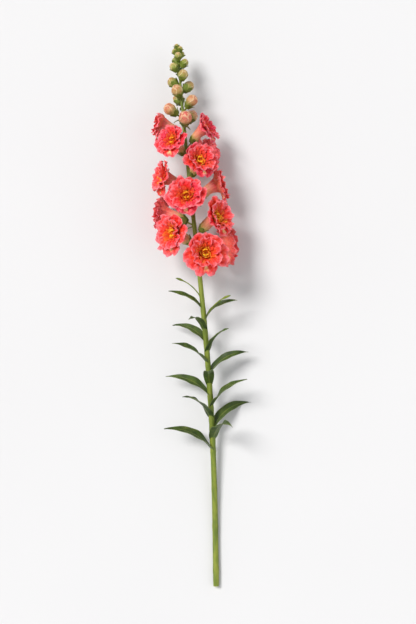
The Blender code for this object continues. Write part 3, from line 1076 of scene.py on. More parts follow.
@dataclass(frozen=True)
class GreenFinish:
    """Green tissue, with its colours, the size of its streaks, and its gloss."""

    name: str
    dark: str
    light: str
    pale: str
    streak_scale: float
    roughness: float
    vein_share: float = 0.0
    flush: float = 0.0
    flushed: str = "a86848"
    cut_face: str = ""

    def build(self) -> bpy.types.Material:
        """Makes the material. Leaves, sepals and bracts also read along and across.

        Returns:
            The finished material.
        """
        bench = Bench(self.name)
        along, across = bench.mark("along"), bench.mark("across")
        stretch = bench.node(
            "ShaderNodeMapping", {}, {"Vector": bench.place(), "Scale": (1.0, 0.14, 1.0)}
        )
        streak = bench.noise(self.streak_scale, 4, stretch.outputs["Vector"])
        colour = bench.mix(streak.step(0.32, 0.68), self.dark, self.light)
        mottle = bench.noise(70, 3)
        colour = bench.mix(mottle.step(0.5, 0.8) * 0.4, colour, self.pale)
        relief = streak * 0.6 + bench.noise(900, 2) * 0.4
        if self.vein_share:
            rib = abs(across).step(0.09, 0.03) * along.step(1.0, 0.85)
            slant = (along * 85.0 - abs(across) * 26.0 + (mottle - 0.5) * 6.0).wave()
            side_veins = slant.step(0.75, 1.0) * abs(across).step(0.98, 0.7)
            colour = bench.mix(rib * self.vein_share, colour, self.pale)
            colour = bench.mix(side_veins * self.vein_share * 0.45, colour, self.light)
            relief = relief + rib * -1.5 + side_veins * -0.6
            edge = abs(across).step(0.9, 1.0)
            colour = bench.mix(edge * 0.35, colour, self.pale)
        if self.flush:
            patches = bench.noise(55, 2).step(0.55, 0.8) * self.flush
            colour = bench.mix(patches, colour, self.flushed)
        if self.cut_face:
            colour = bench.mix(along.step(0.0006, 0.0003), colour, self.cut_face)
        bench.bump(relief, 0.16 * MM, 0.7)
        return bench.shade(
            colour, bench.noise(350, 2) * 0.18 + self.roughness, Subsurface_Weight=0.12,
            Subsurface_Radius=(0.4, 1.0, 0.15), Subsurface_Scale=1.0 * MM,
            Specular_IOR_Level=0.45,
        )


@dataclass(frozen=True)
class FloorFinish:
    """The plain pale surface."""

    name: str = "pale_floor"
    dark: str = "d5d5d6"
    light: str = "d9d9da"

    def build(self) -> bpy.types.Material:
        """Makes the material.

        Returns:
            The finished material.
        """
        bench = Bench(self.name)
        colour = bench.mix(bench.noise(3, 2), self.dark, self.light)
        return bench.shade(colour, 0.85, Specular_IOR_Level=0.2)


@dataclass(frozen=True)
class PetalCut:
    """How one kind of petal is cut and bent, at full flower size.

    A petal starts on a ring at (root_radius, root_height), climbs at root_rise degrees and ends at
    tip_rise, which the upper petals pass by lip. It spans a half angle that opens from root_half to
    full_half degrees, and its corners are rounded off by corner. Each ripple of its outline is
    (waves, depth, which of its random phases).
    """

    length: float
    root_radius: float
    root_height: float
    root_rise: float
    tip_rise: float
    lip: float
    root_half: float
    full_half: float
    corner: float = 0.42
    cup: float = 0.0
    overlap: float = 1.1 * MM
    ruffle: float = 1.5 * MM
    waves: float = 2.6
    frill: float = 0.6 * MM
    crumple: float = 0.42 * MM
    ripples: tuple[Triple, ...] = ((6.5, 0.025, 0), (17, 0.018, 1), (31, 0.01, 5))
    longest: float = 1.2

    def points(
        self, u: Array, v: Array, centre: float, notch: float, opened: float,
        rng: np.random.Generator,
    ) -> tuple[Array, Array]:
        """The petal's points in the flower's own frame, and the relief that its finish paints as
        highlight and shade.

        Args:
            u: across, -1 to 1.
            v: along, 0 to 1.
            centre: the angle that its middle points to, from the side towards up.
            notch: how deep its tip is cleft.
            opened: degrees that the flower holds its petals further forward.
            rng: seeded generator of its own small differences.

        Returns:
            Points as (side, up, forward), and relief from -1 in a crease to 1 on a ridge, for painted
            shade and highlight.
        """
        phase = rng.uniform(0, 2 * math.pi, 9)
        longer = 1 + np.clip(rng.normal(-0.01, 0.05), -0.1, 0.02)
        outline = 1 - self.corner * np.abs(u) ** 3.2 - notch * np.exp(-((u / 0.16) ** 2))
        for waves, depth, which in self.ripples:
            outline = outline + depth * np.sin(waves * u + phase[which])
        s = v * outline * longer
        table = np.linspace(0, self.longest, 80)
        tip_rise = self.tip_rise + self.lip * math.sin(centre) + rng.normal(0, 8) + opened
        rises = np.radians(self.root_rise + (tip_rise - self.root_rise) * table**0.7)
        step = self.length * (table[1] - table[0])
        radii = self.root_radius + np.concatenate([[0], np.cumsum(np.cos(rises[:-1])) * step])
        heights = self.root_height + np.concatenate([[0], np.cumsum(np.sin(rises[:-1])) * step])
        radius, height = np.interp(s, table, radii), np.interp(s, table, heights)
        rise = np.interp(s, table, rises)
        half = np.radians(between((self.root_half, self.full_half), smooth(s, 0.0, 0.75)))
        angle = centre - u * half
        wave = self.ruffle * s**2 * np.sin(self.waves * math.pi * u + phase[2])
        wave = wave + self.ruffle * 0.5 * s**2 * np.cos(4 * s * math.pi + phase[3]) * np.abs(u)
        frill = np.sin(15 * u + phase[4]) + 0.5 * np.sin(27 * u + phase[6])
        wave = wave + self.frill * smooth(s, 0.45, 1.0) ** 2 * frill
        crumple = np.sin(13 * u + 9 * s + phase[7]) + np.sin(-10 * u + 16 * s + phase[8])
        crumple = crumple + 0.7 * np.sin(5 * u + 27 * s + phase[2] + 3 * np.sin(4 * u + phase[3]))
        wave = wave + self.crumple * smooth(s, 0.1, 0.5) * crumple
        # Relief that the finish paints as shade in creases and highlight on ridges.
        crest = np.clip(wave / (0.6 * (self.ruffle + self.frill + self.crumple)), -1, 1)
        lift = wave + self.cup * self.length * u**2 * s
        lift = lift + self.overlap * u * smooth(s, 0.05, 0.5)
        radius = radius - lift * np.sin(rise)
        height = height + lift * np.cos(rise)
        points = np.stack([radius * np.cos(angle), radius * np.sin(angle), height], axis=-1)
        return points, crest


@dataclass(frozen=True)
class FoldRing:
    """A ring of small petals folded along their middles, at full flower size.

    They stand evenly round from first degrees on, give or take scatter. Their feet are root from
    the middle, and their edges reach heights above the rim and lean out by curl.
    """

    count: int
    first: float
    scatter: float
    root: float
    heights: Pair
    width: float
    curl: float


@dataclass
class Bloom:
    """One open double flower: its tube, two rings of petals, and its heart.

    Its pouch is the fuller lower side of the tube's foot. Layers are heights over the surface of
    what lies under a petal there. Each stamen is (degrees, height of its top above the rim).
    """

    number: int
    seat: Seat
    crowd: Crowd
    patterns: dict[str, Pattern]
    finishes: dict[str, bpy.types.Material]
    tube_height: float = 23.5 * MM
    petal_thickness: float = 0.26 * MM
    heart_thickness: float = 0.24 * MM
    tube_profile: Pairs = (
        (2.9 * MM, 0.4 * MM),
        (4.5 * MM, 4.2 * MM),
        (5.5 * MM, 8.4 * MM),
        (5.6 * MM, 13.0 * MM),
        (6.4 * MM, 18.0 * MM),
        (7.6 * MM, 21.6 * MM),
        (8.1 * MM, 22.8 * MM),
        (7.3 * MM, 22.9 * MM),
        (6.2 * MM, 21.4 * MM),
        (4.9 * MM, 20.2 * MM),
        (3.2 * MM, 19.6 * MM),
    )
    outer: PetalCut = PetalCut(
        length=19.0 * MM, root_radius=7.5 * MM, root_height=22.2 * MM, root_rise=62, tip_rise=-16,
        lip=24, root_half=37, full_half=43, corner=0.40, cup=0.03,
    )
    inner: PetalCut = PetalCut(
        length=15.5 * MM, root_radius=6.9 * MM, root_height=22.4 * MM, root_rise=84, tip_rise=8,
        lip=16, root_half=38, full_half=45, corner=0.36, cup=0.10, overlap=0.9 * MM,
        ruffle=1.4 * MM, waves=3.2, frill=0.6 * MM,
    )
    third: PetalCut = PetalCut(
        length=10.0 * MM, root_radius=5.9 * MM, root_height=21.2 * MM, root_rise=88, tip_rise=36,
        lip=10, root_half=26, full_half=42, corner=0.34, cup=0.18, overlap=0.6 * MM,
        ruffle=0.9 * MM, waves=3.4, frill=0.25 * MM, crumple=0.12 * MM,
    )
    outer_angles: Numbers = (54, 126, 198, 270, 342)
    inner_angles: Numbers = (90, 162, 234, 306, 18)
    third_angles: Numbers = (50, 118, 200, 262, 335)
    cleft_angle: float = 270
    cleft: float = 0.16
    layer_step: float = 0.12 * MM
    inner_layer: float = 0.7 * MM
    pouch_place: float = 6 * MM
    pouch_length: float = 4.5 * MM
    pouch_depth: float = 0.10
    fold_rings: tuple[FoldRing, ...] = (
        FoldRing(5, 0, 8, 4.2 * MM, (2.6 * MM, 4.6 * MM), 6.4 * MM, 1.8 * MM),
        FoldRing(4, 36, 12, 2.6 * MM, (2.0 * MM, 3.8 * MM), 4.8 * MM, 1.5 * MM),
        FoldRing(3, 0, 15, 1.0 * MM, (0.8 * MM, 2.4 * MM), 3.6 * MM, 0.9 * MM),
    )
    fold_foot: float = -6.5 * MM
    pleat: Pair = (0.9 * MM, 2.0 * MM)
    stamens: Pairs = ((70, 3.2 * MM), (120, 3.6 * MM), (235, 2.4 * MM), (300, 2.8 * MM))
    stamen_foot: float = 14.5 * MM
    stamen_reach: Pair = (1.3 * MM, 3.0 * MM)
    filament_radius: float = 0.28 * MM
    filament_bow: float = 0.6 * MM
    anther: Triple = (0.75 * MM, 0.75 * MM, 1.1 * MM)
    anther_side: float = 0.7 * MM
    openings: Pair = (-3, 16)
    tints: Pair = (0.12, 0.88)

    def __post_init__(self) -> None:
        """Seeds the flower's own small differences: how far it is open, and its tint."""
        self.rng = np.random.default_rng(700 + self.number)
        self.opened = self.rng.uniform(*self.openings)
        self.tint = self.rng.uniform(*self.tints)

    def seated(self, own: Array) -> Array:
        """Own full-size points to their place, at the flower's size.

        Args:
            own: points in the flower's own frame, at full size.

        Returns:
            The points in the part's frame.
        """
        scaled = own * self.seat.size
        scaled[..., 2] = self.seat.tube + (own[..., 2] - self.tube_height) * self.seat.size
        return self.seat.place(scaled)

    def settle(self, own: Array, layer: float) -> Array:
        """A petal's own points to their place, pressed by the crowd and off the floor.

        Args:
            own: points in the flower's own frame, at full size.
            layer: height over the surface of what lies under the petal.

        Returns:
            The points in the part's frame.
        """
        placed = self.crowd.press(self.seat, self.seated(own))
        return keep_off_floor(placed, self.petal_thickness / 2 + layer)

    def petal(
        self, cut: PetalCut, degrees: float, pattern: Pattern, layer: float, streak: bool
    ) -> bpy.types.Object:
        """One petal, still a thin sheet.

        Args:
            cut: its kind.
            degrees: the angle that its middle points to.
            pattern: the blank.
            layer: height of what lies under it on the surface.
            streak: whether it is the cleft lower petal with the pale streak.

        Returns:
            The sheet.
        """
        centre = math.radians(degrees + self.rng.normal(0, 3))
        notch = self.cleft if streak else 0.04 + 0.03 * self.rng.random()
        opened = self.opened if cut is self.inner else 0.3 * self.opened
        own, crest = cut.points(pattern.u, pattern.v, centre, notch, opened, self.rng)
        marks = {
            "along": pattern.v,
            "across": pattern.u,
            "tint": np.clip(self.tint + self.rng.normal(0, 0.15), 0, 1),
            "streak": 1.0 if streak else 0.0,
            # The relief, for the finish's painted highlight on ridges and painted shade in creases.
            "crest": crest,
        }
        return pattern.cut(self.settle(own, layer), marks)

    def petals(self) -> list[bpy.types.Object]:
        """All petals of the rings, outermost first.

        Returns:
            The thin sheets.
        """
        made = []
        for order, degrees in enumerate(self.outer_angles):
            layer = self.layer_step * order
            pattern, cleft = self.patterns["outer"], degrees == self.cleft_angle
            made.append(self.petal(self.outer, degrees, pattern, layer, cleft))
        for order, degrees in enumerate(self.inner_angles):
            layer = self.inner_layer + self.layer_step * order
            made.append(self.petal(self.inner, degrees, self.patterns["inner"], layer, False))
        return made

    def tube(self) -> bpy.types.Object:
        """The tube's wall, over its rim and down into the throat, as one closed skin.

        Returns:
            The new object.
        """
        pattern = self.patterns["tube"]
        profile = curve_through(self.tube_profile, pattern.v)
        radius, height = profile[:, 0] * pattern.core, profile[:, 1]
        below = np.clip(-np.sin(pattern.u), 0, 1)
        pouch = np.exp(-(((height - self.pouch_place) / self.pouch_length) ** 2))
        pouch = self.pouch_depth * below * pouch * (pattern.v < 0.6)
        ridges = np.cos(5 * (pattern.u - math.radians(self.outer_angles[0])))
        radius = radius * (1 + pouch) * (1 + 0.03 * ridges * smooth(pattern.v, 0.2, 0.5))
        size = self.seat.size
        angle = pattern.u
        own = np.stack([radius * np.cos(angle), radius * np.sin(angle), height], -1) * size
        own[:, 2] = np.where(height > 0.5 * MM, own[:, 2], height)
        across = np.abs(np.arctan2(np.cos(angle), -np.sin(angle))) / math.pi
        marks = {"along": pattern.v, "across": across}
        made = pattern.cut(keep_off_floor(self.seat.place(own), 0.0), marks)
        made.data.polygons.foreach_set("material_index", [2] * len(made.data.polygons))
        return made

    def build_corolla(self) -> bpy.types.Object:
        """The tube and petals that stand for the construction's bloom.

        Returns:
            The finished piece.
        """
        slots = tuple(self.finishes[name] for name in ("petal", "petal_back", "tube"))
        sheets = join(f"petals_{self.number:02d}", self.petals(), slots)
        thicken(sheets, self.petal_thickness, back_slot=1)
        piece = join(f"petals_{self.number:02d}", [sheets, self.tube()], slots)
        finish_mesh(piece)
        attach(piece, "root")
        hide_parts(f"bloom_{self.number:02d}")
        return piece

    def stamen(self, degrees: float, reach: float) -> list[bpy.types.Object]:
        """A bent filament and the two lobes of its anther.

        Args:
            degrees: the angle that it stands at.
            reach: of its top past the tube's mouth.

        Returns:
            The filament and both lobes.
        """
        angle = math.radians(degrees)
        aim = np.array([math.cos(angle), math.sin(angle), 0.0])
        foot = aim * self.stamen_reach[0] + [0, 0, self.stamen_foot]
        top = aim * self.stamen_reach[1] + [0, 0, self.tube_height + reach]
        thread, egg = self.patterns["thread"], self.patterns["anther"]
        bow = np.sin(math.pi * thread.v)[:, None] * aim * self.filament_bow
        line = foot + (top - foot) * thread.v[:, None] + bow
        flat = np.stack([np.cos(thread.u), np.sin(thread.u), 0 * thread.u], -1)
        own = line + flat * (self.filament_radius * thread.core)[:, None]
        blank = {"along": 0.55, "across": 0.0, "tint": 1.0}
        made = [thread.cut(self.seated(own), blank)]
        beside = np.cross(aim, (0, 0, 1))
        for side in (-1, 1):
            radius = np.sin(math.pi * egg.v)
            ball = [radius * np.cos(egg.u), radius * np.sin(egg.u), -np.cos(math.pi * egg.v)]
            own = np.stack(ball, -1) * self.anther + top + beside * side * self.anther_side
            lobe = egg.cut(self.seated(own), {"along": 1.0, "across": 0.0, "tint": 1.0})
            lobe.data.polygons.foreach_set("material_index", [1] * len(lobe.data.polygons))
            made.append(lobe)
        return made

    def fold(self, ring: FoldRing, high: float, degrees: float) -> bpy.types.Object:
        """One small petal folded along its middle, standing in the throat.

        Args:
            ring: that it belongs to.
            high: height of its edge above the rim.
            degrees: the angle that it stands at.

        Returns:
            The petal, still a thin sheet.
        """
        pattern = self.patterns["fold"]
        u, v = pattern.u, pattern.v
        phase = self.rng.uniform(0, 2 * math.pi, 3)
        centre = math.radians(degrees)
        skew = self.rng.normal(0, 0.35)
        half = ring.width / 2 * (0.5 + 0.5 * smooth(v, 0.0, 0.7))
        ragged = 0.05 * np.sin(7 * u + phase[0]) + 0.03 * np.sin(16 * u + phase[1])
        share = v * (1 - 0.2 * np.abs(u) ** 2.6 + ragged * v)
        height = between((self.fold_foot, high), share)
        outward = ring.root + ring.curl * v**2.2 + 0.4 * MM * np.sin(3 * v + phase[2])
        pleat = self.rng.uniform(*self.pleat) * np.abs(u) ** 1.4 * smooth(v, 0.1, 0.8)
        wave = 0.4 * MM * v**2 * np.sin(6 * u + phase[1])
        radial = outward - pleat + wave + u * half * math.sin(skew)
        sideways = -u * half * math.cos(skew)
        x = radial * math.cos(centre) - sideways * math.sin(centre)
        y = radial * math.sin(centre) + sideways * math.cos(centre)
        own = np.stack([x, y, self.tube_height + height], -1)
        tint = np.clip(self.tint + 0.15 + self.rng.normal(0, 0.25), 0, 1)
        return pattern.cut(self.seated(own), {"along": v, "across": u, "tint": tint})

    def build_heart(self) -> bpy.types.Object:
        """The folded petals and stamens that stand for the construction's heart.

        Returns:
            The finished piece.
        """
        sheets = []
        for degrees in self.third_angles:
            centre = math.radians(degrees + self.rng.normal(0, 6))
            pattern = self.patterns["third"]
            opened = 0.5 * self.opened
            own = self.third.points(pattern.u, pattern.v, centre, 0.06, opened, self.rng)[0]
            marks = {
                "along": 0.3 + 0.62 * pattern.v,
                "across": pattern.u,
                "tint": np.clip(self.tint + self.rng.normal(-0.15, 0.2), 0, 1),
            }
            sheets.append(pattern.cut(self.settle(own, 0.0), marks))
        turn = self.rng.uniform(0, 72)
        for ring in self.fold_rings:
            for index in range(ring.count):
                high = self.rng.uniform(*ring.heights)
                even = turn + ring.first + 360 / ring.count * index
                degrees = even + self.rng.normal(0, ring.scatter)
                sheets.append(self.fold(ring, high, degrees))
        slots = (self.finishes["heart"], self.finishes["pollen"])
        piece = join(f"heart_petals_{self.number:02d}", sheets, slots)
        thicken(piece, self.heart_thickness)
        stamens = []
        for degrees, reach in self.stamens:
            stamens += self.stamen(degrees + self.rng.normal(0, 8), reach)
        piece = join(f"heart_petals_{self.number:02d}", [piece] + stamens, slots)
        finish_mesh(piece)
        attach(piece, "root")
        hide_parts(f"heart_{self.number:02d}")
        return piece


@dataclass
class Cup:
    """A stalk and the five pointed sepals that hold a flower or bud.

    The seat on the stalk is foot in radius, and the sepals open by spread over their height. They
    clear the flower by gap, and start sunk below the seat.
    """

    seat: Seat
    patterns: dict[str, Pattern]
    foot: float
    spread: float
    height: float
    seed: int
    stalk_radius: float = 0.95 * MM
    stalk_bend: float = 2.2 * MM
    sepals: int = 5
    sepal_half: float = math.radians(39)
    tip_half: float = math.radians(1.5)
    gap: float = 0.62 * MM
    sunk: float = 0.7 * MM
    ridge: float = 0.22 * MM
    floor_gap: float = 0.2 * MM

    def stalk(self) -> bpy.types.Object:
        """The stalk, from inside the stem to the seat that the sepals grow from.

        Returns:
            The new object.
        """
        pattern = self.patterns["stalk"]
        seat = self.seat
        size = seat.size
        thin = self.stalk_radius * (0.5 + 0.5 * size)
        ends = np.array([seat.root, seat.neck - seat.forward * self.stalk_bend, seat.neck])
        swell = smooth(pattern.v, 0.72, 1.0)
        wide = (self.foot * size + 0.3 * MM) * 0.96
        radius = (thin + (wide - thin) * swell**1.5) * pattern.core
        t = pattern.v[:, None]
        line = ends[0] * (1 - t) ** 2 + 2 * ends[1] * t * (1 - t) + ends[2] * t**2
        line = line - seat.forward * (0.15 * MM) * t
        flat = np.cos(pattern.u)[:, None] * seat.side + np.sin(pattern.u)[:, None] * seat.up
        placed = line + flat * radius[:, None]
        marks = {"along": pattern.v, "across": 0.5}
        return pattern.cut(keep_off_floor(placed, 0.0), marks)

    def sepal(self, index: int, rng: np.random.Generator) -> bpy.types.Object:
        """One sepal, a thin sheet curved round the foot of the flower.

        Args:
            index: its number, from 0.
            rng: seeded generator of small differences.

        Returns:
            The thin sheet.
        """
        pattern = self.patterns["sepal"]
        u, v = pattern.u, pattern.v
        size = self.seat.size
        centre = 2 * math.pi * index / self.sepals + rng.normal(0, 0.05)
        tall = self.height * size * (1 + rng.normal(0, 0.06))
        along = between((-self.sunk, tall), v)
        half = self.sepal_half * (1 - v**2.4) ** 0.75 + self.tip_half
        inner = self.foot * size + self.spread * np.maximum(along, 0) + self.gap
        inner = inner - 0.25 * MM * smooth(v, 0.25, 0.0) + (0.55 + rng.random() * 0.5) * MM * v**5
        ridge = self.ridge * (1 - np.abs(u)) * smooth(v, 0.0, 0.3)
        radius = inner + ridge
        angle = centre + u * half
        own = np.stack([radius * np.cos(angle), radius * np.sin(angle), along], -1)
        placed = self.seat.place(own)
        marks = {"along": v, "across": u}
        return pattern.cut(keep_off_floor(placed, self.floor_gap), marks)

    def build(self) -> tuple[list[bpy.types.Object], list[bpy.types.Object]]:
        """The solid stalk, and the sepals that still need their thickness.

        Returns:
            Two lists: the solid, and the sheets.
        """
        rng = np.random.default_rng(self.seed)
        return [self.stalk()], [self.sepal(index, rng) for index in range(self.sepals)]


@dataclass
class Bud:
    """A closed bud: a plump egg, and the folded lobes that close over its tip.

    The profile is (share of the length, radius) from the foot's pole to the tip's, and width scales
    its radii. The lobes run from lobe_start to lobe_end of the length. Its two lips meet in a
    shallow mouth at mouth_turn on each side.
    """

    seat: Seat
    patterns: dict[str, Pattern]
    profile: Pairs
    width: float
    ripe: float
    seed: int
    flatness: float = 0.93
    lobes: int = 5
    lobe_half: float = math.radians(50)
    lobe_start: float = 0.36
    lobe_end: float = 0.985
    lobe_thickness: float = 0.2 * MM
    foot: float = 0.3 * MM
    lip_depth: float = 0.08
    mouth_turn: float = 0.25
    mouth_width: float = 0.2
    mouth_depth: float = 0.09
    fold_depth: float = 0.03
    floor_gap: float = 0.15 * MM

    def shape(self, angle: Array, share: Array, radius: Array) -> Array:
        """Points of the bud's side, with its fuller lower lip, in the part's frame.

        Args:
            angle: round the bud.
            share: of its length.
            radius: at full width.

        Returns:
            One point for each angle.
        """
        lip = self.lip_depth * smooth(share, 0.35, 0.7) * np.cos(angle + math.pi / 2) ** 3
        mouth = 0.0
        for place in (self.mouth_turn, math.pi - self.mouth_turn):
            mouth = mouth + np.exp(-(((np.abs(angle) - place) / self.mouth_width) ** 2))
        radius = radius * (1 + lip - self.mouth_depth * mouth * smooth(share, 0.4, 0.8))
        height = between((self.foot, self.seat.tube), share)
        flat = [radius * np.cos(angle), radius * np.sin(angle) * self.flatness, height]
        return keep_off_floor(self.seat.place(np.stack(flat, -1)), self.floor_gap)

    def egg(self) -> bpy.types.Object:
        """The plump egg, with five low folds.

        Returns:
            The new object.
        """
        pattern = self.patterns["egg"]
        rng = np.random.default_rng(self.seed)
        share, radius = curve_through(self.profile, pattern.v).T
        share = np.clip(share, 0, 1)
        radius = np.maximum(radius, 0) * np.where((pattern.v > 0) & (pattern.v < 1), 1, 0)
        folds = self.fold_depth * np.cos(self.lobes * pattern.u + rng.uniform(0, 6))
        folds = folds * smooth(share, 0.2, 0.7)
        ripples = 0.012 * np.sin(9 * pattern.u + 14 * share) * smooth(share, 0.1, 0.4)
        radius = radius * self.width * (1 + folds + ripples)
        marks = {"along": share, "across": pattern.u / math.pi, "ripe": self.ripe, "rim": 0.0}
        return pattern.cut(self.shape(pattern.u, share, radius), marks)

    def lobe(self, index: int, rng: np.random.Generator) -> bpy.types.Object:
        """One lobe, folded over the tip and over its neighbour, still a thin sheet.

        Args:
            index: its number, from 0.
            rng: seeded generator of small differences.

        Returns:
            The thin sheet.
        """
        pattern = self.patterns["lobe"]
        u, v = pattern.u, pattern.v
        phase = rng.uniform(0, 2 * math.pi, 2)
        edge = 1 - 0.3 * np.abs(u) ** 2.4 + 0.02 * np.sin(9 * u + phase[0])
        share = between((self.lobe_start, self.lobe_end), v * edge)
        shares, radii = curve_through(self.profile, np.linspace(0, 1, 60)).T
        radius = np.interp(share, np.clip(shares, 0, 1), np.maximum(radii, 0)) * self.width
        over = (0.15 + 0.3 * (u + 1) / 2) * smooth(v, 0.0, 0.25) - 0.1 * (v < 0.01)
        flare = 0.5 * smooth(v, 0.6, 1.0) * self.ripe + 0.12 * np.sin(6 * u + phase[1]) * v
        radius = radius + (over + flare) * MM
        angle = 2 * math.pi * (index + 0.25) / self.lobes + u * self.lobe_half + 0.5 * (v - 0.5)
        angle = (angle + math.pi) % (2 * math.pi) - math.pi
        rim = np.maximum(np.abs(u), v)
        marks = {"along": share, "across": angle / math.pi, "ripe": self.ripe, "rim": rim}
        return pattern.cut(self.shape(angle, share, radius), marks)

    def build(self, finish: bpy.types.Material) -> bpy.types.Object:
        """The egg and its lobes as one object, dressed in the finish.

        Args:
            finish: its material.

        Returns:
            The new object.
        """
        rng = np.random.default_rng(self.seed + 50)
        sheets = [self.lobe(index, rng) for index in range(self.lobes)]
        wrap = join("lobes", sheets, (finish,))
        thicken(wrap, self.lobe_thickness)
        return join("bud", [self.egg(), wrap], (finish,))


@dataclass(frozen=True)
class Blade:
    """A leaf or bract that leaves the stem and bends in the plane of the stem and its turn.

    Its leans are degrees towards the tip of the stem, at its foot and at its end. Its edges wave by
    slow_wave and quick_wave of its width, and groove is the depth of its midrib.
    """

    y: float
    turn: float
    leans: Pair
    length: float
    width: float
    fold: float
    twist: float
    seed: int
    foot: float = 1.8 * MM
    tip: float = 0.16 * MM
    peak: float = 0.72
    fullness: float = 1.15
    slow_wave: float = 0.045
    quick_wave: float = 0.03
    groove: float = 0.3 * MM
    steps: int = 48

    def build(self, pattern: Pattern, floor_gap: float) -> bpy.types.Object:
        """The blade as a thin sheet on the pattern's points.

        Args:
            pattern: the blank.
            floor_gap: how far its middle stays above the surface that the stem lies on.

        Returns:
            The thin sheet.
        """
        rng = np.random.default_rng(self.seed)
        phase = rng.uniform(0, 2 * math.pi, 3)
        centres, wides, overs = [], [], []
        point = STEM.centre(self.y)
        along = STEM.axes(self.y)[0]
        out = STEM.outward(self.y, self.turn)
        for step in range(self.steps + 1):
            share = step / self.steps
            lean = math.radians(between(self.leans, share))
            forward = math.cos(lean) * out + math.sin(lean) * along
            untwisted = math.cos(lean) * along - math.sin(lean) * out
            over = math.cos(self.twist * share) * untwisted
            over = over + math.sin(self.twist * share) * np.cross(forward, untwisted)
            centres.append(point)
            wides.append(np.cross(forward, over))
            overs.append(over)
            point = point + forward * self.length / self.steps
        u, v = pattern.u, pattern.v
        middle, wide, over = (read_rows(np.array(rows), v) for rows in (centres, wides, overs))
        outline = np.sin(math.pi * (0.07 + 0.93 * v) ** self.peak) ** self.fullness
        half = np.maximum(outline * self.width, between((self.foot, self.tip), v)) / 2
        lift = self.fold * half * np.abs(u) ** 1.3
        slow, quick = self.slow_wave * self.width, self.quick_wave * self.width
        lift = lift + slow * np.sin(9 * v + phase[0]) * u * np.abs(u)
        lift = lift + quick * np.sin(21 * v + phase[1] + 2 * u) * u**2
        lift = lift - self.groove * np.exp(-((u / 0.12) ** 2)) * smooth(v, 0.0, 0.1)
        points = middle + wide * (half * u)[:, None] + over * lift[:, None]
        return pattern.cut(keep_off_floor(points, floor_gap), {"along": v, "across": -u})


@dataclass(frozen=True)
class Shoot:
    """Where a thin side shoot leaves the stem, and how it bends.

    It points degrees round the stem from up, and its leans are as those of a blade.
    """

    y: float
    degrees: float
    leans: Pair
    length: float


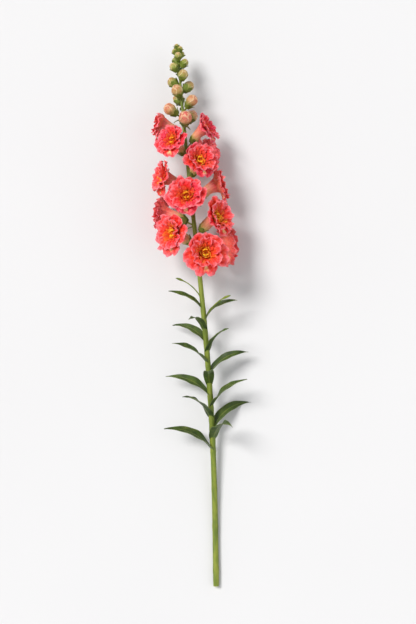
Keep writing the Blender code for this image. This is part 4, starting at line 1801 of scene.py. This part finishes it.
@dataclass
class LeafyStem:
    """Everything green: the stem, its leaves, bracts, side shoots, cups and green buds.

    A swelling reaches along the stem from each leaf and flower, and from each of bare_nodes. Each
    rib is (how many go round, their twist along the stem, their depth). Pairs of leaf sizes are for
    the lowest leaf and the highest. A cup's sizes are its foot, spread and height.
    """

    spike: Spike
    blooms: list[Seat]
    buds: list[Seat]
    patterns: dict[str, Pattern]
    finishes: dict[str, bpy.types.Material]
    leaves: int = 14
    first_leaf_y: float = -154 * MM
    leaf_step: float = 11.8 * MM
    leaf_thickness: float = 0.42 * MM
    leaf_leans: Pair = (60, -4)
    leaf_droop: float = 14
    leaf_lengths: Pair = (64.4 * MM, 44.6 * MM)
    leaf_widths: Pair = (14 * MM, 9.1 * MM)
    leaf_twist: float = math.radians(70)
    bare_nodes: Numbers = (-282 * MM, -236 * MM, -196 * MM)
    swelling_reaches: Pair = (2.2 * MM, 2.6 * MM)
    swelling: float = 0.09
    ribs: tuple[Triple, ...] = ((5, 14, 0.022), (11, -20, 0.012))
    cut_end: float = 0.93
    pith_depth: float = 0.5 * MM
    shoots: tuple[Shoot, ...] = (
        Shoot(-14 * MM, 62, (66, 8), 46 * MM),
        Shoot(10 * MM, -70, (70, 16), 40 * MM),
    )
    shoot_steps: int = 40
    shoot_profile: Pairs = (
        (0.0, 0.91 * MM), (0.2, 0.7 * MM), (0.66, 0.56 * MM), (0.76, 0.63 * MM), (0.86, 1.4 * MM),
        (0.95, 0.98 * MM), (1.0, 0.21 * MM),
    )
    bud_profile: Pairs = (
        (0.0, 0.0), (0.02, 0.26), (0.2, 0.42), (0.44, 0.5), (0.7, 0.44), (0.9, 0.26),
        (1.0, 0.0),
    )
    bloom_cup: Triple = (3.0 * MM, 0.30, 6.6 * MM)
    bud_cup: Triple = (2.4 * MM, 0.52, 5.0 * MM)
    green_cup_foot: float = 0.24
    green_cup_spread: float = 0.42
    green_cup_heights: Pair = (0.42, 0.67)
    green_stalk: float = 0.10
    thinnest_stalk: float = 0.5 * MM
    green_ripeness: Pair = (0.4, -0.8)
    bract_drop: float = 1.6 * MM
    bract_leans: Pair = (12, -38)
    bract_length: float = 10.5 * MM
    bract_width: float = 3.0 * MM
    bract_foot: float = 1.6 * MM
    bract_floor_gap: float = 0.175 * MM
    sepal_thickness: float = 0.38 * MM
    green_sepal_thickness: float = 0.36 * MM
    hairs: int = 1500
    hair_length: Pair = (0.5 * MM, 0.95 * MM)
    hair_radius: float = 0.055 * MM
    hair_root: float = 0.97
    hair_lean: float = 0.25

    def finish_piece(self, piece: bpy.types.Object, finish: str) -> bpy.types.Object:
        """Dresses a piece of the leafy stem, shades it smooth, attaches it to the root body and hides
        the construction's leafy stem.

        Args:
            piece: its mesh is complete.
            finish: the name of its finish.

        Returns:
            The same piece.
        """
        dress(piece, self.finishes[finish])
        finish_mesh(piece)
        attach(piece, "root")
        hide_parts("leafy_stem")
        return piece

    def leaf_places(self) -> list[float]:
        """Where the leaves leave the stem."""
        return [self.first_leaf_y + self.leaf_step * index for index in range(self.leaves)]

    def stem(self) -> bpy.types.Object:
        """The round stem with low ribs, a swelling at each leaf, and its cut end.

        Returns:
            The new object.
        """
        pattern = self.patterns["stem"]
        y = between((STEM.cut_y, STEM.tip_y), pattern.v)
        radius = np.interp(y, STEM.places, STEM.radii)
        nodes = self.leaf_places() + [seat.y for seat in self.blooms + self.buds]
        swell = sum(
            np.exp(-(((y - place) / reach) ** 2))
            for reach, places in zip(self.swelling_reaches, (nodes, self.bare_nodes))
            for place in places
        )
        ribs = sum(
            depth * np.cos(count * pattern.u + twist * y) for count, twist, depth in self.ribs
        )
        radius = radius * (1 + ribs + self.swelling * np.minimum(swell, 1.0))
        radius = radius * np.where(pattern.v < 1e-4, self.cut_end, 1.0) * pattern.core
        centres = np.array([STEM.centre(value) for value in y])
        axes = np.array([STEM.axes(value) for value in y])
        flat = np.cos(pattern.u)[:, None] * axes[:, 1] + np.sin(pattern.u)[:, None] * axes[:, 2]
        pith = (1 - pattern.core) * (pattern.v < 0.5) * self.pith_depth
        points = centres + flat * radius[:, None] + axes[:, 0] * pith[:, None]
        points[:, 2] = np.maximum(points[:, 2], 0.0)
        return pattern.cut(points, {"along": pattern.v, "across": 0.5})

    def side_shoot(self, shoot: Shoot) -> bpy.types.Object:
        """A thin side shoot with a small closed bud at its end.

        Args:
            shoot: its place and form.

        Returns:
            The new object.
        """
        pattern = self.patterns["thread_long"]
        along = STEM.axes(shoot.y)[0]
        out = STEM.outward(shoot.y, math.radians(shoot.degrees))
        across = np.cross(along, out)
        lean = np.radians(np.linspace(*shoot.leans, self.shoot_steps + 1))
        forward = np.cos(lean)[:, None] * out + np.sin(lean)[:, None] * along
        walked = np.vstack([[0, 0, 0], np.cumsum(forward[:-1], 0)])
        line = STEM.centre(shoot.y) + walked * shoot.length / self.shoot_steps
        over = np.cross(read_rows(forward, pattern.v), across)
        radius = np.interp(pattern.v, *zip(*self.shoot_profile)) * pattern.core
        flat = np.cos(pattern.u)[:, None] * across + np.sin(pattern.u)[:, None] * over
        points = keep_off_floor(read_rows(line, pattern.v) + flat * radius[:, None], 0.0)
        return pattern.cut(points, {"along": pattern.v, "across": 0.5})

    def build_stem(self) -> bpy.types.Object:
        """The stem and side shoots.

        Returns:
            The finished piece.
        """
        parts = [self.stem()] + [self.side_shoot(shoot) for shoot in self.shoots]
        return self.finish_piece(join("stem_skin", parts), "stem")

    def build_leaves(self) -> bpy.types.Object:
        """The lance-shaped leaves.

        Returns:
            The finished piece.
        """
        sheets = []
        for index, y in enumerate(self.leaf_places()):
            share = index / (self.leaves - 1)
            turn = self.spike.lying_turn(index - self.leaves)
            first_lean, last_lean = self.leaf_leans
            droop = self.leaf_droop * math.sin(5.0 * index)
            blade = Blade(
                y=y,
                turn=turn,
                leans=(first_lean, last_lean + droop),
                length=between(self.leaf_lengths, share),
                width=between(self.leaf_widths, share),
                fold=0.3,
                twist=self.leaf_twist * math.sin(turn),
                seed=40 + index,
            )
            sheets.append(blade.build(self.patterns["leaf"], self.leaf_thickness / 2))
        piece = join("leaves", sheets, (self.finishes["leaf"],))
        thicken(piece, self.leaf_thickness)
        return self.finish_piece(piece, "leaf")

    def build_cups(self) -> bpy.types.Object:
        """Stalks, sepals and bracts of the flowers and coloured buds.

        Returns:
            The finished piece.
        """
        solids, sheets = [], []
        cups = ((self.blooms, self.bloom_cup, 200), (self.buds, self.bud_cup, 240))
        for seats, sizes, first_seed in cups:
            for seed, seat in enumerate(seats, start=first_seed):
                solid, sheet = Cup(seat, self.patterns, *sizes, seed).build()
                solids += solid
                sheets += sheet
        for seed, seat in enumerate(self.blooms + self.buds, start=300):
            bract = Blade(
                y=seat.y - self.bract_drop,
                turn=seat.turn,
                leans=self.bract_leans,
                length=self.bract_length * seat.size,
                width=self.bract_width,
                fold=0.25,
                twist=0.0,
                seed=seed,
                foot=self.bract_foot,
            )
            sheets.append(bract.build(self.patterns["bract"], self.bract_floor_gap))
        sepals = join("sepals_and_bracts", sheets, (self.finishes["sepal"],))
        thicken(sepals, self.sepal_thickness)
        piece = join("cups_and_bracts", [sepals] + solids, (self.finishes["sepal"],))
        return self.finish_piece(piece, "sepal")

    def build_green_buds(self) -> list[bpy.types.Object]:
        """The green buds and the sepals that wrap them.

        Returns:
            The two finished pieces.
        """
        eggs, solids, sheets = [], [], []
        for index, (seat, width) in enumerate(self.spike.green_seats()):
            share = index / (self.spike.green_buds - 1)
            ripe = max(0.0, between(self.green_ripeness, share))
            bud = Bud(seat, self.patterns, self.bud_profile, width, ripe, 400 + index)
            eggs.append(bud.build(self.finishes["bud"]))
            cup = Cup(
                seat=seat,
                patterns=self.patterns,
                foot=self.green_cup_foot * width,
                spread=self.green_cup_spread,
                height=seat.tube * between(self.green_cup_heights, share),
                seed=440 + index,
                stalk_radius=max(self.green_stalk * width, self.thinnest_stalk),
            )
            solid, sheet = cup.build()
            solids += solid
            sheets += sheet
        egg_piece = self.finish_piece(join("green_buds", eggs), "bud")
        sepals = join("green_bud_sepals", sheets, (self.finishes["sepal"],))
        thicken(sepals, self.green_sepal_thickness)
        cups = join("green_bud_cups", [sepals] + solids, (self.finishes["sepal"],))
        return [egg_piece, self.finish_piece(cups, "sepal")]

    def build_hairs(self) -> bpy.types.Object:
        """Short fine hairs on the upper stem, each a thin three-sided cone.

        Returns:
            The finished piece.
        """
        deselect()
        bpy.ops.mesh.primitive_cone_add(vertices=3, radius1=1, depth=1, end_fill_type="TRIFAN")
        piece = bpy.context.object
        piece.name = piece.data.name = "hairs"
        one = np.array([vertex.co for vertex in piece.data.vertices])
        row = piece.modifiers.new("row", "ARRAY")
        row.count = self.hairs
        bpy.ops.object.modifier_apply(modifier=row.name)
        rng = np.random.default_rng(11)
        places = []
        for _ in range(self.hairs):
            y = STEM.tip_y * (1 - rng.random() ** 1.3)
            out = STEM.outward(y, rng.uniform(0, 2 * math.pi))
            along = STEM.axes(y)[0]
            foot = STEM.centre(y) + out * STEM.radius(y) * self.hair_root
            aim = unit(out + along * rng.normal(0, self.hair_lean))
            side = unit(np.cross(aim, along))
            length = rng.uniform(*self.hair_length)
            own = one * [self.hair_radius, self.hair_radius, length] + [0, 0, length / 2]
            places.append(foot + own @ np.array([side, np.cross(side, aim), aim]))
        piece.data.vertices.foreach_set("co", np.concatenate(places).ravel())
        return self.finish_piece(piece, "hair")

    def build(self) -> list[bpy.types.Object]:
        """Every green piece.

        Returns:
            The finished pieces.
        """
        pieces = [self.build_stem(), self.build_leaves(), self.build_cups()]
        pieces += self.build_green_buds()
        pieces.append(self.build_hairs())
        return pieces


@dataclass
class ColouredBud:
    """One of the coloured buds above the flowers."""

    number: int
    seat: Seat
    patterns: dict[str, Pattern]
    finish: bpy.types.Material
    total: int = 5
    profile: Pairs = (
        (0.0, 0.0), (0.02, 2.3 * MM), (0.22, 4.2 * MM), (0.52, 5.7 * MM), (0.8, 4.8 * MM),
        (0.95, 2.5 * MM), (1.0, 0.0),
    )

    def build(self) -> bpy.types.Object:
        """The piece that stands for the construction's bud.

        Returns:
            The finished piece.
        """
        ripe = between((1.0, 0.5), (self.number - 1) / (self.total - 1))
        bud = Bud(self.seat, self.patterns, self.profile, self.seat.size, ripe, 500 + self.number)
        piece = bud.build(self.finish)
        piece.name = piece.data.name = f"bud_skin_{self.number:02d}"
        finish_mesh(piece)
        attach(piece, "root")
        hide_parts(f"bud_{self.number:02d}")
        return piece


@dataclass(frozen=True)
class Lamp:
    """An even light from the side of place, as seen from the stem.

    It looks soft_degrees wide from the stem, which softens its shadows. Its strength is in watts a
    square metre, and its colour is linear.
    """

    name: str
    place: Triple
    soft_degrees: float
    strength: float
    colour: Triple


@dataclass
class Studio:
    """The pale surface, the soft lights and the camera that looks down.

    Fill is the share of the picture's height that the stem takes. The sky's shades are the heights
    where it starts and ends to change, and its strengths there.
    """

    lens: float = 85
    sensor: float = 36
    fill: float = 0.93
    tilt_degrees: float = 4.0
    roll_degrees: float = 3.5
    lamps: tuple[Lamp, ...] = (
        Lamp("key", (-0.9, 0.7, 1.5), 22, 3.0, (1.0, 0.985, 0.97)),
        Lamp("fill", (1.2, -0.3, 1.2), 50, 0.5, (0.97, 0.985, 1.0)),
        Lamp("low", (-0.4, -1.4, 0.7), 40, 0.45, (1.0, 0.985, 0.97)),
    )
    sky_shades: Numbers = (0.02, 0.5, 0.93, 0.42)
    sky_colour: Triple = (0.985, 0.99, 1.0)
    floor_side: float = 200
    floor_depth: float = 0.05 * MM
    aim: np.ndarray = field(default_factory=lambda: (cad_low + cad_high) / 2)

    def floor(self) -> bpy.types.Object:
        """The surface that the stem lies on.

        Returns:
            The floor.
        """
        deselect()
        bpy.ops.mesh.primitive_plane_add(size=self.floor_side, location=(0, 0, -self.floor_depth))
        floor = bpy.context.object
        floor.name = "surface"
        dress(floor, FloorFinish().build())
        floor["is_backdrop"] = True
        return floor

    def lights(self) -> None:
        """A large key light from the upper left, and two weaker ones that fill its shadows."""
        for lamp in self.lamps:
            data = bpy.data.lights.new(lamp.name, "SUN")
            data.angle, data.energy = math.radians(lamp.soft_degrees), lamp.strength
            data.color = lamp.colour
            made = bpy.data.objects.new(lamp.name, data)
            made.location = lamp.place
            made.rotation_euler = look_rotation(unit(np.array(lamp.place)))
            bpy.context.scene.collection.objects.link(made)

    def sky(self) -> None:
        """A pale sky, as bright as the floor at its horizon and dimmer above."""
        world = bpy.data.worlds.new("pale_sky")
        world.use_nodes = True
        nodes, links = world.node_tree.nodes, world.node_tree.links
        direction = nodes.new("ShaderNodeTexCoord").outputs["Generated"]
        split = nodes.new("ShaderNodeSeparateXYZ")
        shade = nodes.new("ShaderNodeMapRange")
        shade.interpolation_type = "SMOOTHSTEP"
        for key, value in zip(("From Min", "From Max", "To Min", "To Max"), self.sky_shades):
            shade.inputs[key].default_value = value
        background = nodes["Background"]
        background.inputs["Color"].default_value = (*self.sky_colour, 1)
        links.new(direction, split.inputs[0])
        links.new(split.outputs["Z"], shade.inputs["Value"])
        links.new(shade.outputs["Result"], background.inputs["Strength"])
        bpy.context.scene.world = world

    def camera(self) -> None:
        """Looks down on the stem, its tip at the top of the picture."""
        data = bpy.data.cameras.new("camera")
        data.lens, data.sensor_width, data.sensor_fit = self.lens, self.sensor, "AUTO"
        length = float(cad_high[1] - cad_low[1])
        distance = length / self.fill * self.lens / self.sensor + float(cad_high[2])
        tilt, roll = math.radians(self.tilt_degrees), math.radians(self.roll_degrees)
        back = np.array([0.0, -math.sin(tilt), math.cos(tilt)])
        made = bpy.data.objects.new("camera", data)
        made.location = self.aim + back * distance
        made.rotation_euler = (tilt, 0.0, -roll)
        bpy.context.scene.collection.objects.link(made)
        bpy.context.scene.camera = made

    def build(self) -> None:
        """Sets the whole studio and the plain colour view."""
        self.floor()
        self.lights()
        self.sky()
        self.camera()
        bpy.context.scene.view_settings.view_transform = "Standard"
        bpy.context.scene.view_settings.look = "None"


def look_rotation(away: Array) -> Triple:
    """Euler angles that turn an object's own -Z to look against away."""
    flat = math.hypot(away[0], away[1])
    return math.atan2(flat, away[2]), 0.0, math.atan2(away[0], -away[1])


def make_patterns() -> dict[str, Pattern]:
    """The blanks that every piece is cut from.

    Returns:
        The blanks, by name.
    """
    return {
        "outer": Pattern(Blank.SHEET, 28, 18),
        "inner": Pattern(Blank.SHEET, 26, 16),
        "third": Pattern(Blank.SHEET, 18, 11),
        "fold": Pattern(Blank.SHEET, 10, 9),
        "tube": Pattern(Blank.TUBE, 30, 26),
        "thread": Pattern(Blank.TUBE, 6, 8),
        "thread_long": Pattern(Blank.TUBE, 8, 40),
        "anther": Pattern(Blank.EGG, 8, 6),
        "stalk": Pattern(Blank.TUBE, 12, 12),
        "sepal": Pattern(Blank.SHEET, 6, 9),
        "egg": Pattern(Blank.EGG, 40, 26),
        "lobe": Pattern(Blank.SHEET, 14, 12),
        "leaf": Pattern(Blank.SHEET, 8, 30),
        "bract": Pattern(Blank.SHEET, 4, 9),
        "stem": Pattern(Blank.TUBE, 24, 240),
    }


def make_finishes() -> dict[str, bpy.types.Material]:
    """Every material of the stem.

    Returns:
        The materials, by name.
    """
    return {
        "petal": PetalFinish().build(),
        "petal_back": PetalFinish(name="coral_petal_back", paleness=0.24).build(),
        "tube": TubeFinish().build(),
        "heart": HeartFinish().build(),
        "pollen": PollenFinish().build(),
        "bud": BudFinish().build(),
        "stem": GreenFinish(
            name="stem_green", dark="5c6e1a", light="7e8a2a", pale="a0a43e", streak_scale=260,
            roughness=0.45, cut_face="c4c890",
        ).build(),
        "leaf": GreenFinish(
            name="leaf_green", dark="2a3e0e", light="465c18", pale="848e3e", streak_scale=120,
            roughness=0.38, vein_share=0.7,
        ).build(),
        "sepal": GreenFinish(
            name="sepal_green", dark="506216", light="707e20", pale="96983a", streak_scale=300,
            roughness=0.5, vein_share=0.35, flush=0.3,
        ).build(),
        "hair": GreenFinish(
            name="hair_pale", dark="a8b478", light="c0c890", pale="d8dab4", streak_scale=200,
            roughness=0.5,
        ).build(),
    }


def main() -> None:
    """Builds the stem piece by piece and sets the studio round it."""
    spike = Spike()
    blooms, buds = spike.bloom_seats(), spike.bud_seats()
    crowd = Crowd(blooms + buds)
    patterns, finishes = make_patterns(), make_finishes()
    for piece in LeafyStem(spike, blooms, buds, patterns, finishes).build():
        log.info("%s: %d faces", piece.name, len(piece.data.polygons))
    for number, seat in enumerate(blooms, start=1):
        bloom = Bloom(number, seat, crowd, patterns, finishes)
        for piece in (bloom.build_corolla(), bloom.build_heart()):
            log.info("%s: %d faces", piece.name, len(piece.data.polygons))
    for number, seat in enumerate(buds, start=1):
        piece = ColouredBud(number, seat, patterns, finishes["bud"]).build()
        log.info("%s: %d faces", piece.name, len(piece.data.polygons))
    Studio().build()


if __name__ == "__main__":
    logging.basicConfig(level=logging.INFO, format="%(message)s")
    main()
